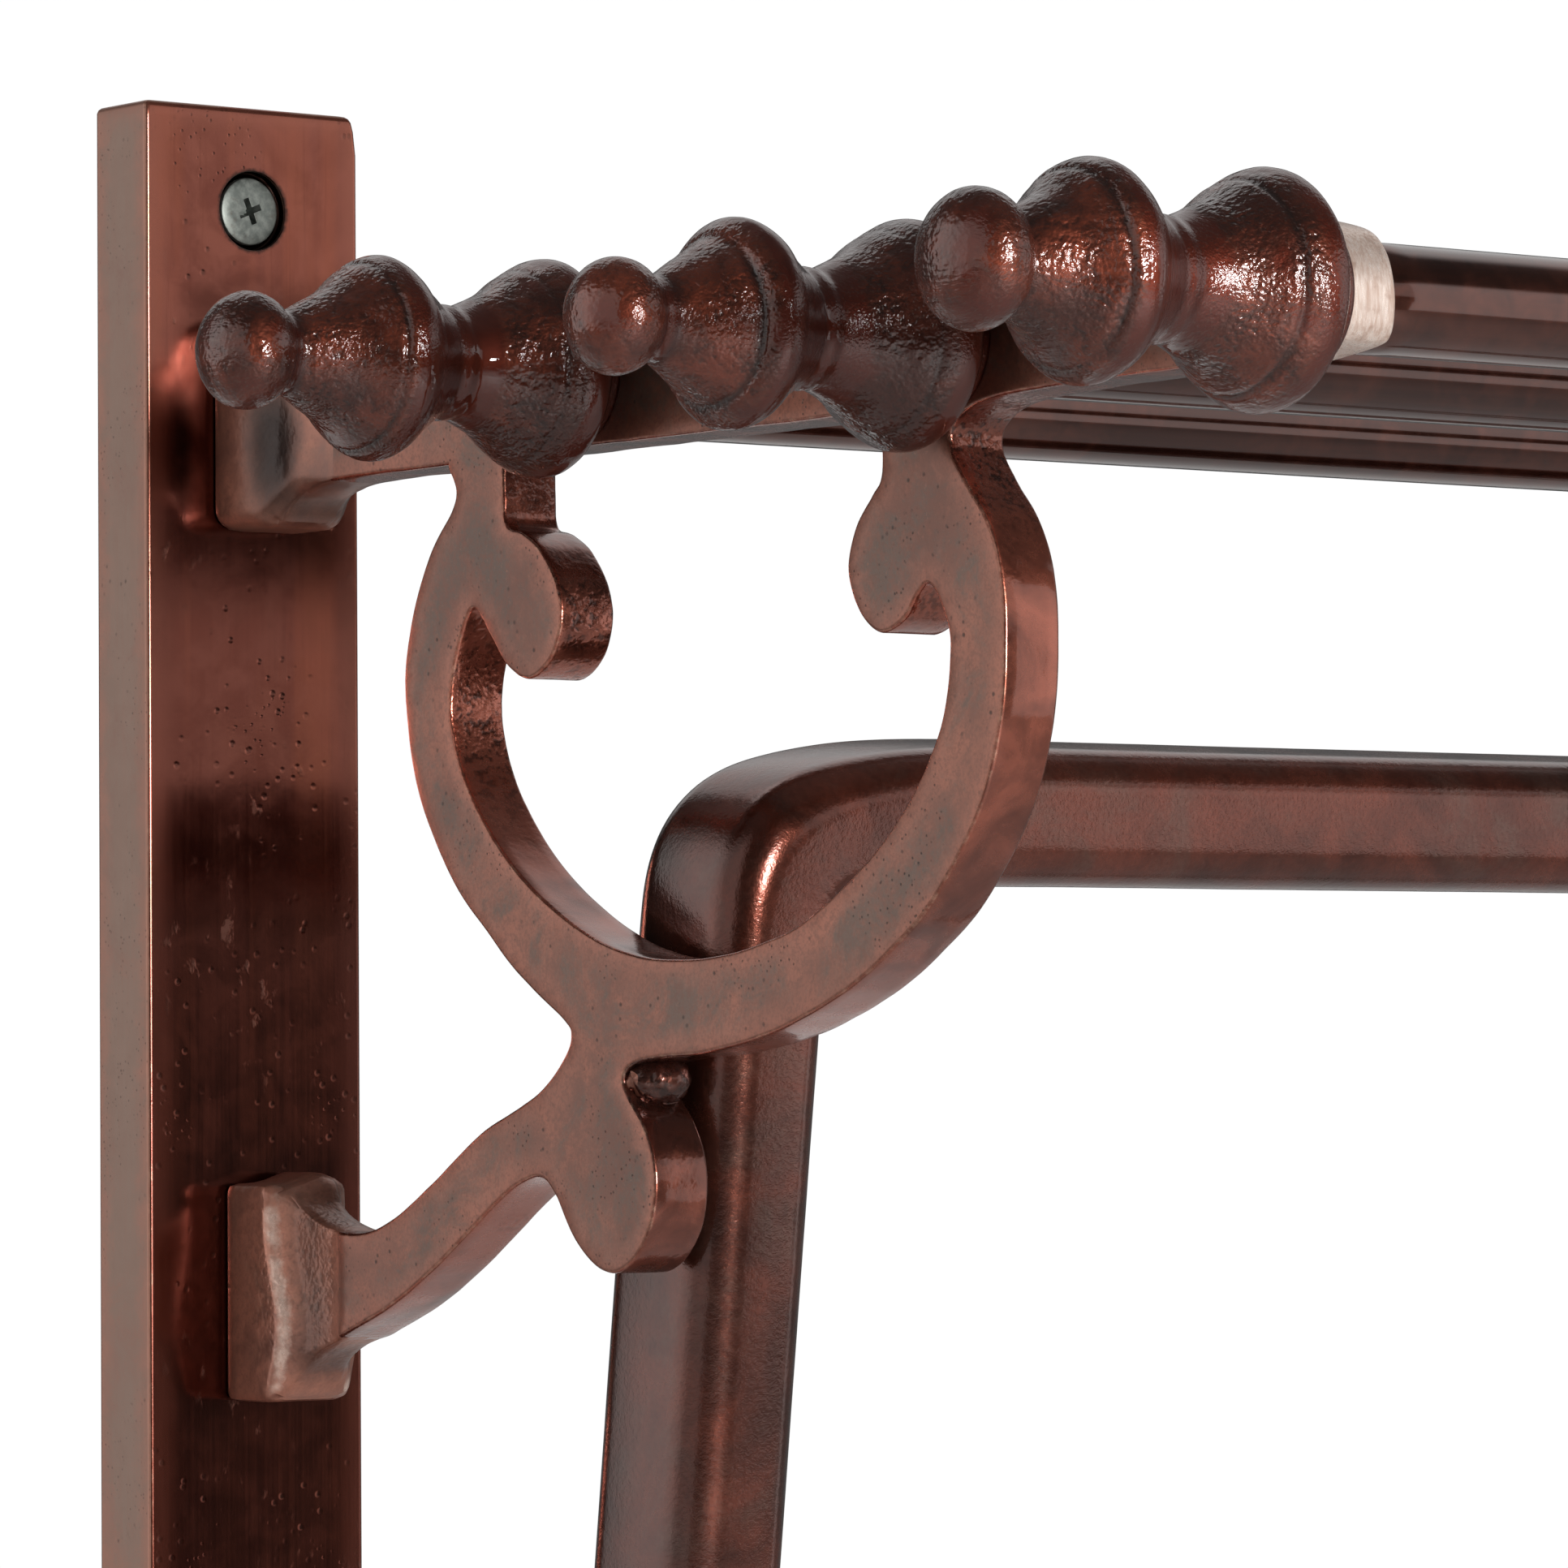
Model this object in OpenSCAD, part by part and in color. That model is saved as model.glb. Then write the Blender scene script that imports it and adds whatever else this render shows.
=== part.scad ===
// Wall-mounted trouser press: two flat stiles carry cast scroll brackets,
// three tubular rails with turned finials, and a bent-tube bail that swings
// on pins near the bottom of the stiles.
// Millimetres. Wall plane at y = 0, front towards -y, up +z.
// Origin: centre of the four wall screws, on the wall plane.

/* [Wall stiles] */
// Width over the outer edges of the two stiles
rack_w = 500; // [440:10:620]
// Width of one stile
stile_w = 32; // [31:0.5:34]
// Thickness of one stile
stile_t = 11.5; // [11:0.25:12]
// Length of one stile
stile_h = 640; // [636:2:680]
// Distance of a wall screw from the end of its stile
screw_inset = 13; // [11:0.5:14]

/* [Shelf] */
// Rail axes below the top of the stiles
rail_drop = 40; // [38:1:46]
// Outside diameter of the rails
rail_d = 12; // [11:0.5:12.5]
// Wall of the rail tubes
rail_wall = 1.5; // [1:0.25:2]
// Rear rail's distance from the wall
rear_u = 83; // [81:0.5:85]
// Middle rail's distance from the wall
middle_u = 150.5; // [149:0.5:152]
// Front rail's distance from the wall
front_u = 209.5; // [205:0.5:220]

/* [Brackets] */
// Thickness of the scroll plate
plate_t = 8; // [7:0.5:8]
// Plate's outer face from the outer edge of the stile
plate_in = 13.3; // [13:0.1:13.5]

/* [Bail] */
// Lean of the bail out from vertical, at rest on its stop
bail_lean = 7.2; // [6:0.1:7.2]
// Pivot axis to the axis of the top bar
bail_len = 510; // [495:1:512]
// Tube across the bail's plane
tube_d = 21; // [19:0.5:21]
// Tube in the bail's plane
tube_w = 16.5; // [15:0.5:17]
// Centre-line radius of the two corners
bend_r = 15; // [14:1:40]
// Wall of the bail tube
tube_wall = 1.8; // [1.2:0.2:2.4]
// Diameter of the pivot pins
pin_d = 8; // [6:0.5:8]

/* [Hidden] */
$fn = 64;

cast_col = [0.40, 0.23, 0.18];
dark_col = [0.27, 0.12, 0.09];
bail_col = [0.30, 0.15, 0.12];
zinc_col = [0.55, 0.56, 0.55];
brass_col = [0.62, 0.46, 0.30];

x0 = -rack_w / 2;                     // outer edge of the left stile
xp = x0 + plate_in;                   // outer face of the left plate
xq = xp + plate_t;                    // inner face of the left plate
xm = xp + plate_t / 2;                // middle of the left plate
zr = stile_h / 2 - rail_drop;         // rail axes
zs = stile_h / 2 - screw_inset;       // upper wall screws; lower ones at -zs
foot_z = -108.5;                      // lower foot, from the rail axes
foot_h = 27;
foot_w = 12.2;
foot_u = 21.5;                        // front of the feet
pivot_u = 25;
pivot_z = zr - 50 - bail_len * cos(bail_lean);
leg_x = rack_w / 2 - 32.5;            // centre of the bail's legs
gap = 0.05;                           // radial clearance of plain fits
stud_d = 5;
screw_d = 4.2;                        // wall screw behind the stile; its shank in the stile is 0.4 thicker

// ---- curves -------------------------------------------------------------
function cr(a, b, c, d, t) = 0.5 * (2 * b + (c - a) * t
    + (2 * a - 5 * b + 4 * c - d) * t * t + (3 * b - a - 3 * c + d) * t * t * t);
// smooth run through points P, n steps a span, without its last point
function run(P, n) = [for (i = [0 : len(P) - 2], k = [0 : n - 1])
    cr(P[max(i - 1, 0)], P[i], P[i + 1], P[min(i + 2, len(P) - 1)], k / n)];
function arc(c, r, a0, a1, n) = [for (k = [0 : n - 1])
    let (a = a0 + (a1 - a0) * k / n) c + r * [cos(a), sin(a)]];

// ---- bracket outline: [distance from wall, height from the rail axes] ----
foot_top = foot_z + foot_h / 2;
foot_bot = foot_z - foot_h / 2;
upper_arm_top = [[foot_u, 13.5], [23, 11.4], [25.8, 9.6], [30, 8.6], [37, 8.3], [90, 7.6], [150, 7.2],
    [front_u - 18, 7.4], [front_u - 2, 8]];
front_end = [[front_u - 2, 8], [front_u + 2.8, 6.6], [front_u + 5.3, 4.2], [front_u + 6.4, 1], [front_u + 6.5, -2],
    [front_u + 5.8, -4.8], [front_u + 3.6, -5.8], [front_u - 4, -6.8]];
right_side = [[front_u - 4, -6.8], [184, -6.7], [166, -7.1], [157, -7.8], [152.8, -9.8],
    [152.2, -12.5], [154.8, -16.5], [158.5, -21], [160.8, -27], [161.3, -34], [160.4, -43],
    [156.5, -53], [148.5, -62.6], [141, -68], [132, -72.8], [119.5, -77], [107, -79.2], [97.5, -79.8],
    [93, -80.6], [91.2, -82.2], [92.4, -84.4], [95, -87.4], [97, -91.5], [97.3, -95.5],
    [96.2, -99.6], [93.4, -103], [89.5, -104.8], [85.5, -104], [81.5, -101], [78, -96.2]];
lower_edge = [[78, -96.2], [75.6, -94], [72.4, -94], [67, -96.3], [57, -102.6], [46, -108.8],
    [34.5, -113.2], [28.5, -115.2], [24.2, -117.8], [foot_u, foot_bot]];
left_side = [[foot_u, foot_top], [24.2, -98], [30, -100.3], [37.5, -100.9], [44, -99.2], [51.5, -95.3],
    [62.5, -88.7], [71, -85.3], [75.4, -83.2], [79.4, -79.8], [80.9, -77.2], [79.4, -75.2],
    [71, -70], [64.2, -64.6], [56.7, -57.6], [50, -46.8], [47.6, -35], [49.2, -26.2],
    [53, -18.6], [57.4, -13.8], [58.4, -11.4], [56.8, -8.6]];
rear_arm_low = [[56.8, -8.2], [45, -8.2], [37, -8.3], [30, -8.6], [25.8, -9.6], [23, -11.4], [foot_u, -13.5]];
inner = [[68.3, -7.8], [68.3, -12], [68.8, -16], [72, -17.2], [75.6, -19.4], [78.8, -23.6],
    [79.6, -28], [77.6, -32.4], [73.2, -34.6], [68.8, -33], [65.4, -29.2], [62.2, -25.8],
    [60.2, -27.4], [57.8, -33], [57.3, -39], [60.2, -46.5], [66, -53.6], [73, -59.2], [80.5, -63.4], [88, -66.4],
    [96.5, -68.1], [107, -68.2], [117, -66.8], [127, -63.6], [140.5, -55], [149.3, -44.5], [151.6, -35],
    [150.4, -30.2], [148.1, -27.4], [146, -28.6], [143.6, -31.2], [139.5, -32.4], [135.8, -30],
    [133.7, -25.2], [135.2, -20.2], [138.2, -16.8], [139.9, -14.4], [139.9, -7.6]];

function wall_plane(P) = [for (p = P) [-p[0], p[1] + zr]];
module scroll_plate() {
    outer = concat([[stile_t, 13.5]], run(upper_arm_top, 3), run(front_end, 4),
        run(right_side, 4), run(lower_edge, 4), [[foot_u, foot_bot], [stile_t, foot_bot], [stile_t, foot_top]],
        run(left_side, 4), run(rear_arm_low, 3), [[foot_u, -13.5], [stile_t, -13.5]]);
    hole = concat(run(inner, 4), [[139.9, -7.6]]);
    translate([xp, 0, 0]) rotate([90, 0, 90]) linear_extrude(plate_t)
        difference() {
            polygon(wall_plane(outer));
            polygon(wall_plane(hole));
        }
}
module foot_block(z) {
    translate([xm - foot_w / 2, -foot_u, zr + z - foot_h / 2])
        cube([foot_w, foot_u - stile_t, foot_h]);
}
// a rod along x from xa to xb
module rod_x(xa, xb, u, z, d) {
    translate([xa, -u, z]) rotate([0, 90, 0]) cylinder(d = d, h = xb - xa);
}
// a rod along y from ya to yb
module rod_y(x, z, ya, yb, d) {
    translate([x, ya, z]) rotate([-90, 0, 0]) cylinder(d = d, h = yb - ya);
}
module cone_y(x, z, ya, yb, da, db) {
    translate([x, ya, z]) rotate([-90, 0, 0]) cylinder(d1 = da, d2 = db, h = yb - ya);
}
module both() { children(); mirror([1, 0, 0]) children(); }

// ---- the left end's pieces ----------------------------------------------
module stile() {
    difference() {
        translate([x0, -stile_t, -stile_h / 2]) cube([stile_w, stile_t, stile_h]);
        for (z = [zs, -zs]) {
            rod_y(x0 + stile_w / 2, z, -stile_t - 1, -stile_t + 1.5, 9.8);
            cone_y(x0 + stile_w / 2, z, -stile_t + 1.5, -stile_t + 4.7, 9, 5.2);
            rod_y(x0 + stile_w / 2, z, -stile_t + 4, 1, screw_d + 0.8);
        }
        for (z = [zr, zr + foot_z]) {
            rod_y(xm, z, -stile_t - 1, 1, stud_d + 2 * gap);
            cone_y(xm, z, -2.9, 0.1, stud_d, 10.4);
        }
        for (z = [pivot_z - 9.5, pivot_z + 9.5]) {
            rod_y(xm, z, -stile_t - 1, 1, 4 + 2 * gap);
            cone_y(xm, z, -2.4, 0.1, 4, 8.4);
        }
    }
}
module bracket() {
    difference() {
        union() {
            scroll_plate();
            foot_block(0);
            foot_block(foot_z);
        }
        for (u = [rear_u, middle_u, front_u]) rod_x(xp - 1, xq + 1, u, zr, stud_d + 2 * gap);
        for (z = [zr, zr + foot_z]) rod_y(xm, z, -stile_t - 14, -stile_t + 1, stud_d + 2 * gap);
    }
}
// turned profile: [radius, distance from the seat]; each finial is turned by
// hand, so they differ a little: b1 is the upper bulge's size, an the neck's
// place, bc, br and ba the ball's centre, radius and half length
function finial_pts(b1, an, bc, br, ba) = concat(
    [[8.8, 0], [8.8, 2.6], [10.4, 3], [11.9, 3.5], [12.7, 4.3], [12.9, 5.3], [12.2, 7.5], [10.8, 10], [9.1, 12.4],
     [7.9, 14.8], [7, 17.2], [6.7, 18.4], [6.9, 19], [6.9, 20.2], [6.7, 20.8], [7.3, 22]],
    [for (q = [[8.6, 24], [9.6, 25.6], [10.9, 27], [11.7, 28.4], [11.8, 29.6]]) [q[0] * b1, q[1]]],
    [for (q = [[11.2, 0.14], [10, 0.28], [8.6, 0.42], [7.4, 0.57], [6.4, 0.74], [5.5, 0.88], [4.8, 1]])
        [4.8 + (q[0] - 4.8) * b1, 29.6 + (an - 29.6) * q[1]]],
    [for (a = [128 : -12 : 8]) [br * sin(a), bc + ba * cos(a)]]);
module finial(u, dz, b1, an, bc, br, ba) {
    difference() {
        translate([xp, -u, zr + dz]) rotate([0, -90, 0])
            rotate_extrude() polygon(concat([[0, 0]], finial_pts(b1, an, bc, br, ba), [[0, bc + ba]]));
        rod_x(xp - 15, xp + 1, u, zr, stud_d + 2 * gap);
    }
}
module rear_fin() { finial(rear_u, 1.2, 1.01, 41.6, 46.8, 6.8, 5.4); }
module middle_fin() { finial(middle_u, -0.3, 0.985, 39.6, 45, 6.4, 5.2); }
module front_fin() { finial(front_u, 0, 1, 40, 43.8, 7.4, 5.2); }
module lug() {
    difference() {
        union() {
            translate([xp, 0, 0]) rotate([90, 0, 90]) linear_extrude(plate_t)
                polygon([for (p = concat([[stile_t, -15]], arc([pivot_u, 0], 10.5, -75, 75, 40),
                    [[pivot_u + 10.5 * cos(75), 10.5 * sin(75)], [stile_t, 15]])) [-p[0], p[1] + pivot_z]]);
            translate([xp - 7, -stile_t - 5, pivot_z - 15]) cube([7 + plate_t, 5, 30]);
        }
        rod_x(xp - 8, xq + 1, pivot_u, pivot_z, pin_d + 2 * gap);
        for (z = [pivot_z - 9.5, pivot_z + 9.5]) rod_y(xm, z, -stile_t - 7, -stile_t + 1, 4 + 2 * gap);
    }
}
module pivot_pin() {
    rod_x(xp, leg_left() + tube_w / 2 - 3, pivot_u, pivot_z, pin_d);
    translate([xp, -pivot_u, pivot_z]) rotate([0, -90, 0]) rotate_extrude()
        polygon(concat([[0, 0], [7, 0], [7, 1.6]], [for (a = [15 : 15 : 75]) [7 * cos(a), 1.6 + 3.4 * sin(a)]], [[0, 5]]));
}
function leg_left() = -leg_x;
module ring_x(xa, xb, u, z, d, bore) {
    difference() {
        rod_x(xa, xb, u, z, d);
        rod_x(xa - 1, xb + 1, u, z, bore);
    }
}

// ---- bail, drawn upright on its pivot axis then leaned out ----------------
module in_bail() {
    translate([0, -pivot_u, pivot_z]) rotate([bail_lean, 0, 0]) children();
}
module section(w, d, r) {
    square([w - 2 * r, d], center = true);
    square([w, d - 2 * r], center = true);
    for (i = [-1, 1], j = [-1, 1]) translate([i * (w / 2 - r), j * (d / 2 - r)]) circle(r = r);
}
tube_r = 5;
leg_s0 = 30;                           // lower end of the tube, above the pivot
module bail_run(w, d, r, s0) {
    both() {
        translate([leg_x, 0, s0]) linear_extrude(bail_len - bend_r - s0) section(w, d, r);
        translate([leg_x - bend_r, 0, bail_len - bend_r]) rotate([90, 0, 0])
            rotate_extrude(angle = 90) translate([bend_r, 0]) section(w, d, r);
    }
    translate([-(leg_x - bend_r), 0, bail_len]) rotate([90, 0, 90])
        linear_extrude(2 * (leg_x - bend_r)) rotate(90) section(w, d, r);
}
module bail_foot() {
    in_bail() difference() {
        union() {
            translate([-leg_x, 0, -20]) linear_extrude(20 + leg_s0) section(tube_w, tube_d, tube_r);
            translate([-leg_x, 0, leg_s0]) linear_extrude(22)
                section(tube_w - 2 * tube_wall - 2 * gap, tube_d - 2 * tube_wall - 2 * gap, tube_r - tube_wall - gap);
        }
        translate([-leg_x - tube_w, 0, 0]) rotate([0, 90, 0]) cylinder(d = 12 + 2 * gap, h = 2 * tube_w);
    }
}

// ---- nodes ---------------------------------------------------------------
module left_stile() { color(cast_col) stile(); }
module right_stile() { color(cast_col) mirror([1, 0, 0]) stile(); }
module left_bracket() { color(cast_col) bracket(); }
module right_bracket() { color(cast_col) mirror([1, 0, 0]) bracket(); }
module rail(u) { ring_x(xq, -xq, u, zr, rail_d, rail_d - 2 * rail_wall); }
module rear_rail() { color(dark_col) rail(rear_u); }
module middle_rail() { color(dark_col) rail(middle_u); }
module front_rail() { color(dark_col) rail(front_u); }
module left_rear_finial() { color(dark_col) rear_fin(); }
module left_middle_finial() { color(dark_col) middle_fin(); }
module left_front_finial() { color(dark_col) front_fin(); }
module right_rear_finial() { color(dark_col) mirror([1, 0, 0]) rear_fin(); }
module right_middle_finial() { color(dark_col) mirror([1, 0, 0]) middle_fin(); }
module right_front_finial() { color(dark_col) mirror([1, 0, 0]) front_fin(); }
// studs run from inside the finial, through the arm, into the rail's plug
module finial_studs() {
    color(brass_col) both() for (u = [rear_u, middle_u, front_u])
        rod_x(xp - 14, xq + 14, u, zr, stud_d);
}
module rail_end_plugs() {
    color(brass_col) both() for (u = [rear_u, middle_u, front_u]) difference() {
        rod_x(xq, xq + 20, u, zr, rail_d - 2 * rail_wall - 2 * gap);
        rod_x(xq - 1, xq + 15, u, zr, stud_d + 2 * gap);
    }
}
// countersunk from the back of the stile, into each foot
module bracket_screws() {
    color(zinc_col) both() for (z = [zr, zr + foot_z]) {
        rod_y(xm, z, -stile_t - 12, -0.2, stud_d);
        cone_y(xm, z, -2.8, -0.2, stud_d, 9.8);
    }
}
module lug_screws() {
    color(zinc_col) both() for (z = [pivot_z - 9.5, pivot_z + 9.5]) {
        rod_y(xm, z, -stile_t - 6, -0.2, 4);
        cone_y(xm, z, -2.3, -0.2, 4, 7.8);
    }
}
// cross-recess heads sunk in the stile, shanks standing out of its back
module wall_screws() {
    color(zinc_col) both() for (z = [zs, -zs]) difference() {
        union() {
            rod_y(x0 + stile_w / 2, z, -stile_t + 0.6, -stile_t + 1.4, 8.5);
            cone_y(x0 + stile_w / 2, z, -stile_t + 1.4, -stile_t + 4.4, 8.5, screw_d + 0.4);
            rod_y(x0 + stile_w / 2, z, -stile_t + 4, 0, screw_d + 0.4);
            rod_y(x0 + stile_w / 2, z, 0, 15, screw_d);
            cone_y(x0 + stile_w / 2, z, 15, 20, screw_d, 0.8);
        }
        for (a = [20, 110]) translate([x0 + stile_w / 2, -stile_t + 0.6, z]) rotate([0, a, 0])
            cube([4.6, 3.4, 0.9], center = true);
    }
}
module left_pivot_lug() { color(cast_col) lug(); }
module right_pivot_lug() { color(cast_col) mirror([1, 0, 0]) lug(); }
module left_pivot_pin() { color(brass_col) pivot_pin(); }
module right_pivot_pin() { color(brass_col) mirror([1, 0, 0]) pivot_pin(); }
module pivot_washers() {
    color(brass_col) both() ring_x(xq, -leg_x - tube_w / 2 - 0.4, pivot_u, pivot_z, 17, pin_d + 2 * gap);
}
module bail_frame() {
    color(bail_col) in_bail() difference() {
        bail_run(tube_w, tube_d, tube_r, leg_s0);
        bail_run(tube_w - 2 * tube_wall, tube_d - 2 * tube_wall, tube_r - tube_wall, leg_s0 - 1);
    }
}
module left_bail_foot() { color(bail_col) bail_foot(); }
module right_bail_foot() { color(bail_col) mirror([1, 0, 0]) bail_foot(); }
module pivot_bushes() {
    color(brass_col) both()
        ring_x(-leg_x - tube_w / 2, -leg_x + tube_w / 2, pivot_u, pivot_z, 12, pin_d + 2 * gap);
}

left_stile();
right_stile();
left_bracket();
right_bracket();
rear_rail();
middle_rail();
front_rail();
left_rear_finial();
left_middle_finial();
left_front_finial();
right_rear_finial();
right_middle_finial();
right_front_finial();
finial_studs();
rail_end_plugs();
bracket_screws();
wall_screws();
left_pivot_lug();
right_pivot_lug();
lug_screws();
left_pivot_pin();
right_pivot_pin();
pivot_washers();
bail_frame();
left_bail_foot();
right_bail_foot();
pivot_bushes();
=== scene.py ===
import math

import bpy
import bmesh
import numpy as np
from mathutils import Matrix, Vector
from mathutils.geometry import delaunay_2d_cdt


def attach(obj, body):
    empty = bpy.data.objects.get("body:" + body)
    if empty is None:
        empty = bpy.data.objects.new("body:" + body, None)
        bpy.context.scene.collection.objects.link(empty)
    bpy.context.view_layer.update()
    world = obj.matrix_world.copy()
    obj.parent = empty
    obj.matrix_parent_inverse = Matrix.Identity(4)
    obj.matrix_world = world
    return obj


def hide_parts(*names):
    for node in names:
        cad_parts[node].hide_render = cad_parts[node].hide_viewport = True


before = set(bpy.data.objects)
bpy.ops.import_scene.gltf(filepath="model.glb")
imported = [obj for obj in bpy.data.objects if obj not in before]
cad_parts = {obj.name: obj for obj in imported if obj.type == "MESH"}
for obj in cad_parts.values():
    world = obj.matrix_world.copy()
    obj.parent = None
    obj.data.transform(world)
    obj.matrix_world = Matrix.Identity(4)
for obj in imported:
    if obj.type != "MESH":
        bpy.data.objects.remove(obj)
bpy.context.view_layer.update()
scene = bpy.context.scene

# ---- sizes, in millimetres, in the part's own frame --------------------------
MM = 0.001
X0, XP, XQ, XM = -250.0, -236.7, -228.7, -232.7      # left stile's edge, plate's faces and middle
STILE_W, STILE_T, STILE_H = 32.0, 11.5, 640.0
ZR, ZS = 280.0, 307.0                                # rail axes, upper wall screws
FOOT_U, FOOT_Z, FOOT_H, FOOT_W = 21.5, -108.5, 27.0, 12.2
RAIL_U = {"rear": 83.0, "middle": 150.5, "front": 209.5}
PIV_U, LEAN, BAIL_LEN = 25.0, math.radians(7.2), 510.0
PIV_Z = ZR - 50.0 - BAIL_LEN * math.cos(LEAN)
LEG_X, TUBE_W, TUBE_D, BEND_R, LEG_S0 = 217.5, 16.5, 21.0, 15.0, 30.0

# ---- seeded gradient noise -----------------------------------------------------
_rng = np.random.default_rng(41)
_perm = _rng.permutation(256)
_perm = np.concatenate([_perm, _perm, _perm])
_grad = _rng.normal(size=(256, 3))
_grad /= np.linalg.norm(_grad, axis=1)[:, None]


def pnoise(P):
    """Gradient noise at points P, about -0.7 to 0.7."""
    P = np.asarray(P, float)
    i = np.floor(P).astype(int)
    f = P - i
    w = f * f * f * (f * (f * 6 - 15) + 10)
    i &= 255
    out = np.zeros(len(P))
    for dx in (0, 1):
        for dy in (0, 1):
            for dz in (0, 1):
                h = _perm[_perm[_perm[(i[:, 0] + dx) & 255] + ((i[:, 1] + dy) & 255)] + ((i[:, 2] + dz) & 255)]
                d = (_grad[h] * (f - (dx, dy, dz))).sum(1)
                ww = (w[:, 0] if dx else 1 - w[:, 0]) * (w[:, 1] if dy else 1 - w[:, 1]) * (w[:, 2] if dz else 1 - w[:, 2])
                out += ww * d
    return out


def fbm(P, octaves=3):
    P = np.asarray(P, float)
    out, a = np.zeros(len(P)), 1.0
    for k in range(octaves):
        out += a * pnoise(P * 2 ** k + 17.3 * k)
        a *= 0.5
    return out


def smooth01(x, a, b):
    t = np.clip((np.asarray(x, float) - a) / (b - a), 0, 1)
    return t * t * (3 - 2 * t)


# ---- shader helpers --------------------------------------------------------------
class Tree:
    def __init__(self, name):
        self.mat = bpy.data.materials.new(name)
        self.mat.use_nodes = True
        self.t = self.mat.node_tree
        self.t.nodes.clear()
        self.out = self.t.nodes.new("ShaderNodeOutputMaterial")
        self.bsdf = self.t.nodes.new("ShaderNodeBsdfPrincipled")
        self.t.links.new(self.bsdf.outputs[0], self.out.inputs[0])
        tc = self.t.nodes.new("ShaderNodeTexCoord")
        self.obj = tc.outputs["Object"]

    def put(self, sock, v):
        if isinstance(v, bpy.types.NodeSocket):
            self.t.links.new(v, sock)
        elif isinstance(v, (tuple, list)) and len(v) == 3 and sock.type == "RGBA":
            sock.default_value = (*v, 1.0)
        else:
            sock.default_value = v

    def mm(self, sx=1.0, sy=1.0, sz=1.0, off=(0, 0, 0), turn=(0, 0, 0)):
        """Position in millimetres, stretched and turned."""
        m = self.t.nodes.new("ShaderNodeMapping")
        m.inputs["Rotation"].default_value = turn
        m.inputs["Scale"].default_value = (1000 * sx, 1000 * sy, 1000 * sz)
        m.inputs["Location"].default_value = off
        self.t.links.new(self.obj, m.inputs["Vector"])
        return m.outputs[0]

    def noise(self, vec, scale, detail=3.0, rough=0.55, dist=0.0):
        n = self.t.nodes.new("ShaderNodeTexNoise")
        self.t.links.new(vec, n.inputs["Vector"])
        n.inputs["Scale"].default_value = scale
        n.inputs["Detail"].default_value = detail
        n.inputs["Roughness"].default_value = rough
        n.inputs["Distortion"].default_value = dist
        return n.outputs[0]

    def voronoi(self, vec, scale, feature="F1", rand=1.0):
        n = self.t.nodes.new("ShaderNodeTexVoronoi")
        n.feature = feature
        self.t.links.new(vec, n.inputs["Vector"])
        n.inputs["Scale"].default_value = scale
        n.inputs["Randomness"].default_value = rand
        return n.outputs["Distance"]

    def math(self, op, a, b=0.0, c=0.0, clamp=False):
        n = self.t.nodes.new("ShaderNodeMath")
        n.operation = op
        n.use_clamp = clamp
        for s, v in zip(n.inputs, (a, b, c)):
            self.put(s, v)
        return n.outputs[0]

    def span(self, v, a, b, c=0.0, d=1.0, smooth=True):
        n = self.t.nodes.new("ShaderNodeMapRange")
        n.interpolation_type = "SMOOTHSTEP" if smooth else "LINEAR"
        n.clamp = True
        self.put(n.inputs["Value"], v)
        for k, x in (("From Min", a), ("From Max", b), ("To Min", c), ("To Max", d)):
            self.put(n.inputs[k], x)
        return n.outputs[0]

    def mix(self, fac, a, b, blend="MIX"):
        n = self.t.nodes.new("ShaderNodeMix")
        n.data_type = "RGBA"
        n.blend_type = blend
        n.clamp_factor = True
        self.put(n.inputs[0], fac)
        self.put(n.inputs[6], a)
        self.put(n.inputs[7], b)
        return n.outputs[2]

    def xyz(self, vec):
        n = self.t.nodes.new("ShaderNodeSeparateXYZ")
        self.t.links.new(vec, n.inputs[0])
        return n.outputs

    def attr(self, name):
        n = self.t.nodes.new("ShaderNodeAttribute")
        n.attribute_name = name
        return n.outputs["Fac"]

    def bump(self, height, dist_mm, strength=1.0, normal=None):
        n = self.t.nodes.new("ShaderNodeBump")
        n.inputs["Strength"].default_value = strength
        n.inputs["Distance"].default_value = dist_mm * MM
        self.put(n.inputs["Height"], height)
        if normal is not None:
            self.put(n.inputs["Normal"], normal)
        return n.outputs[0]

    def set(self, **kw):
        for k, v in kw.items():
            self.put(self.bsdf.inputs[k.replace("_", " ")], v)
        return self.mat


COPPER = (0.70, 0.40, 0.28)


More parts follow.
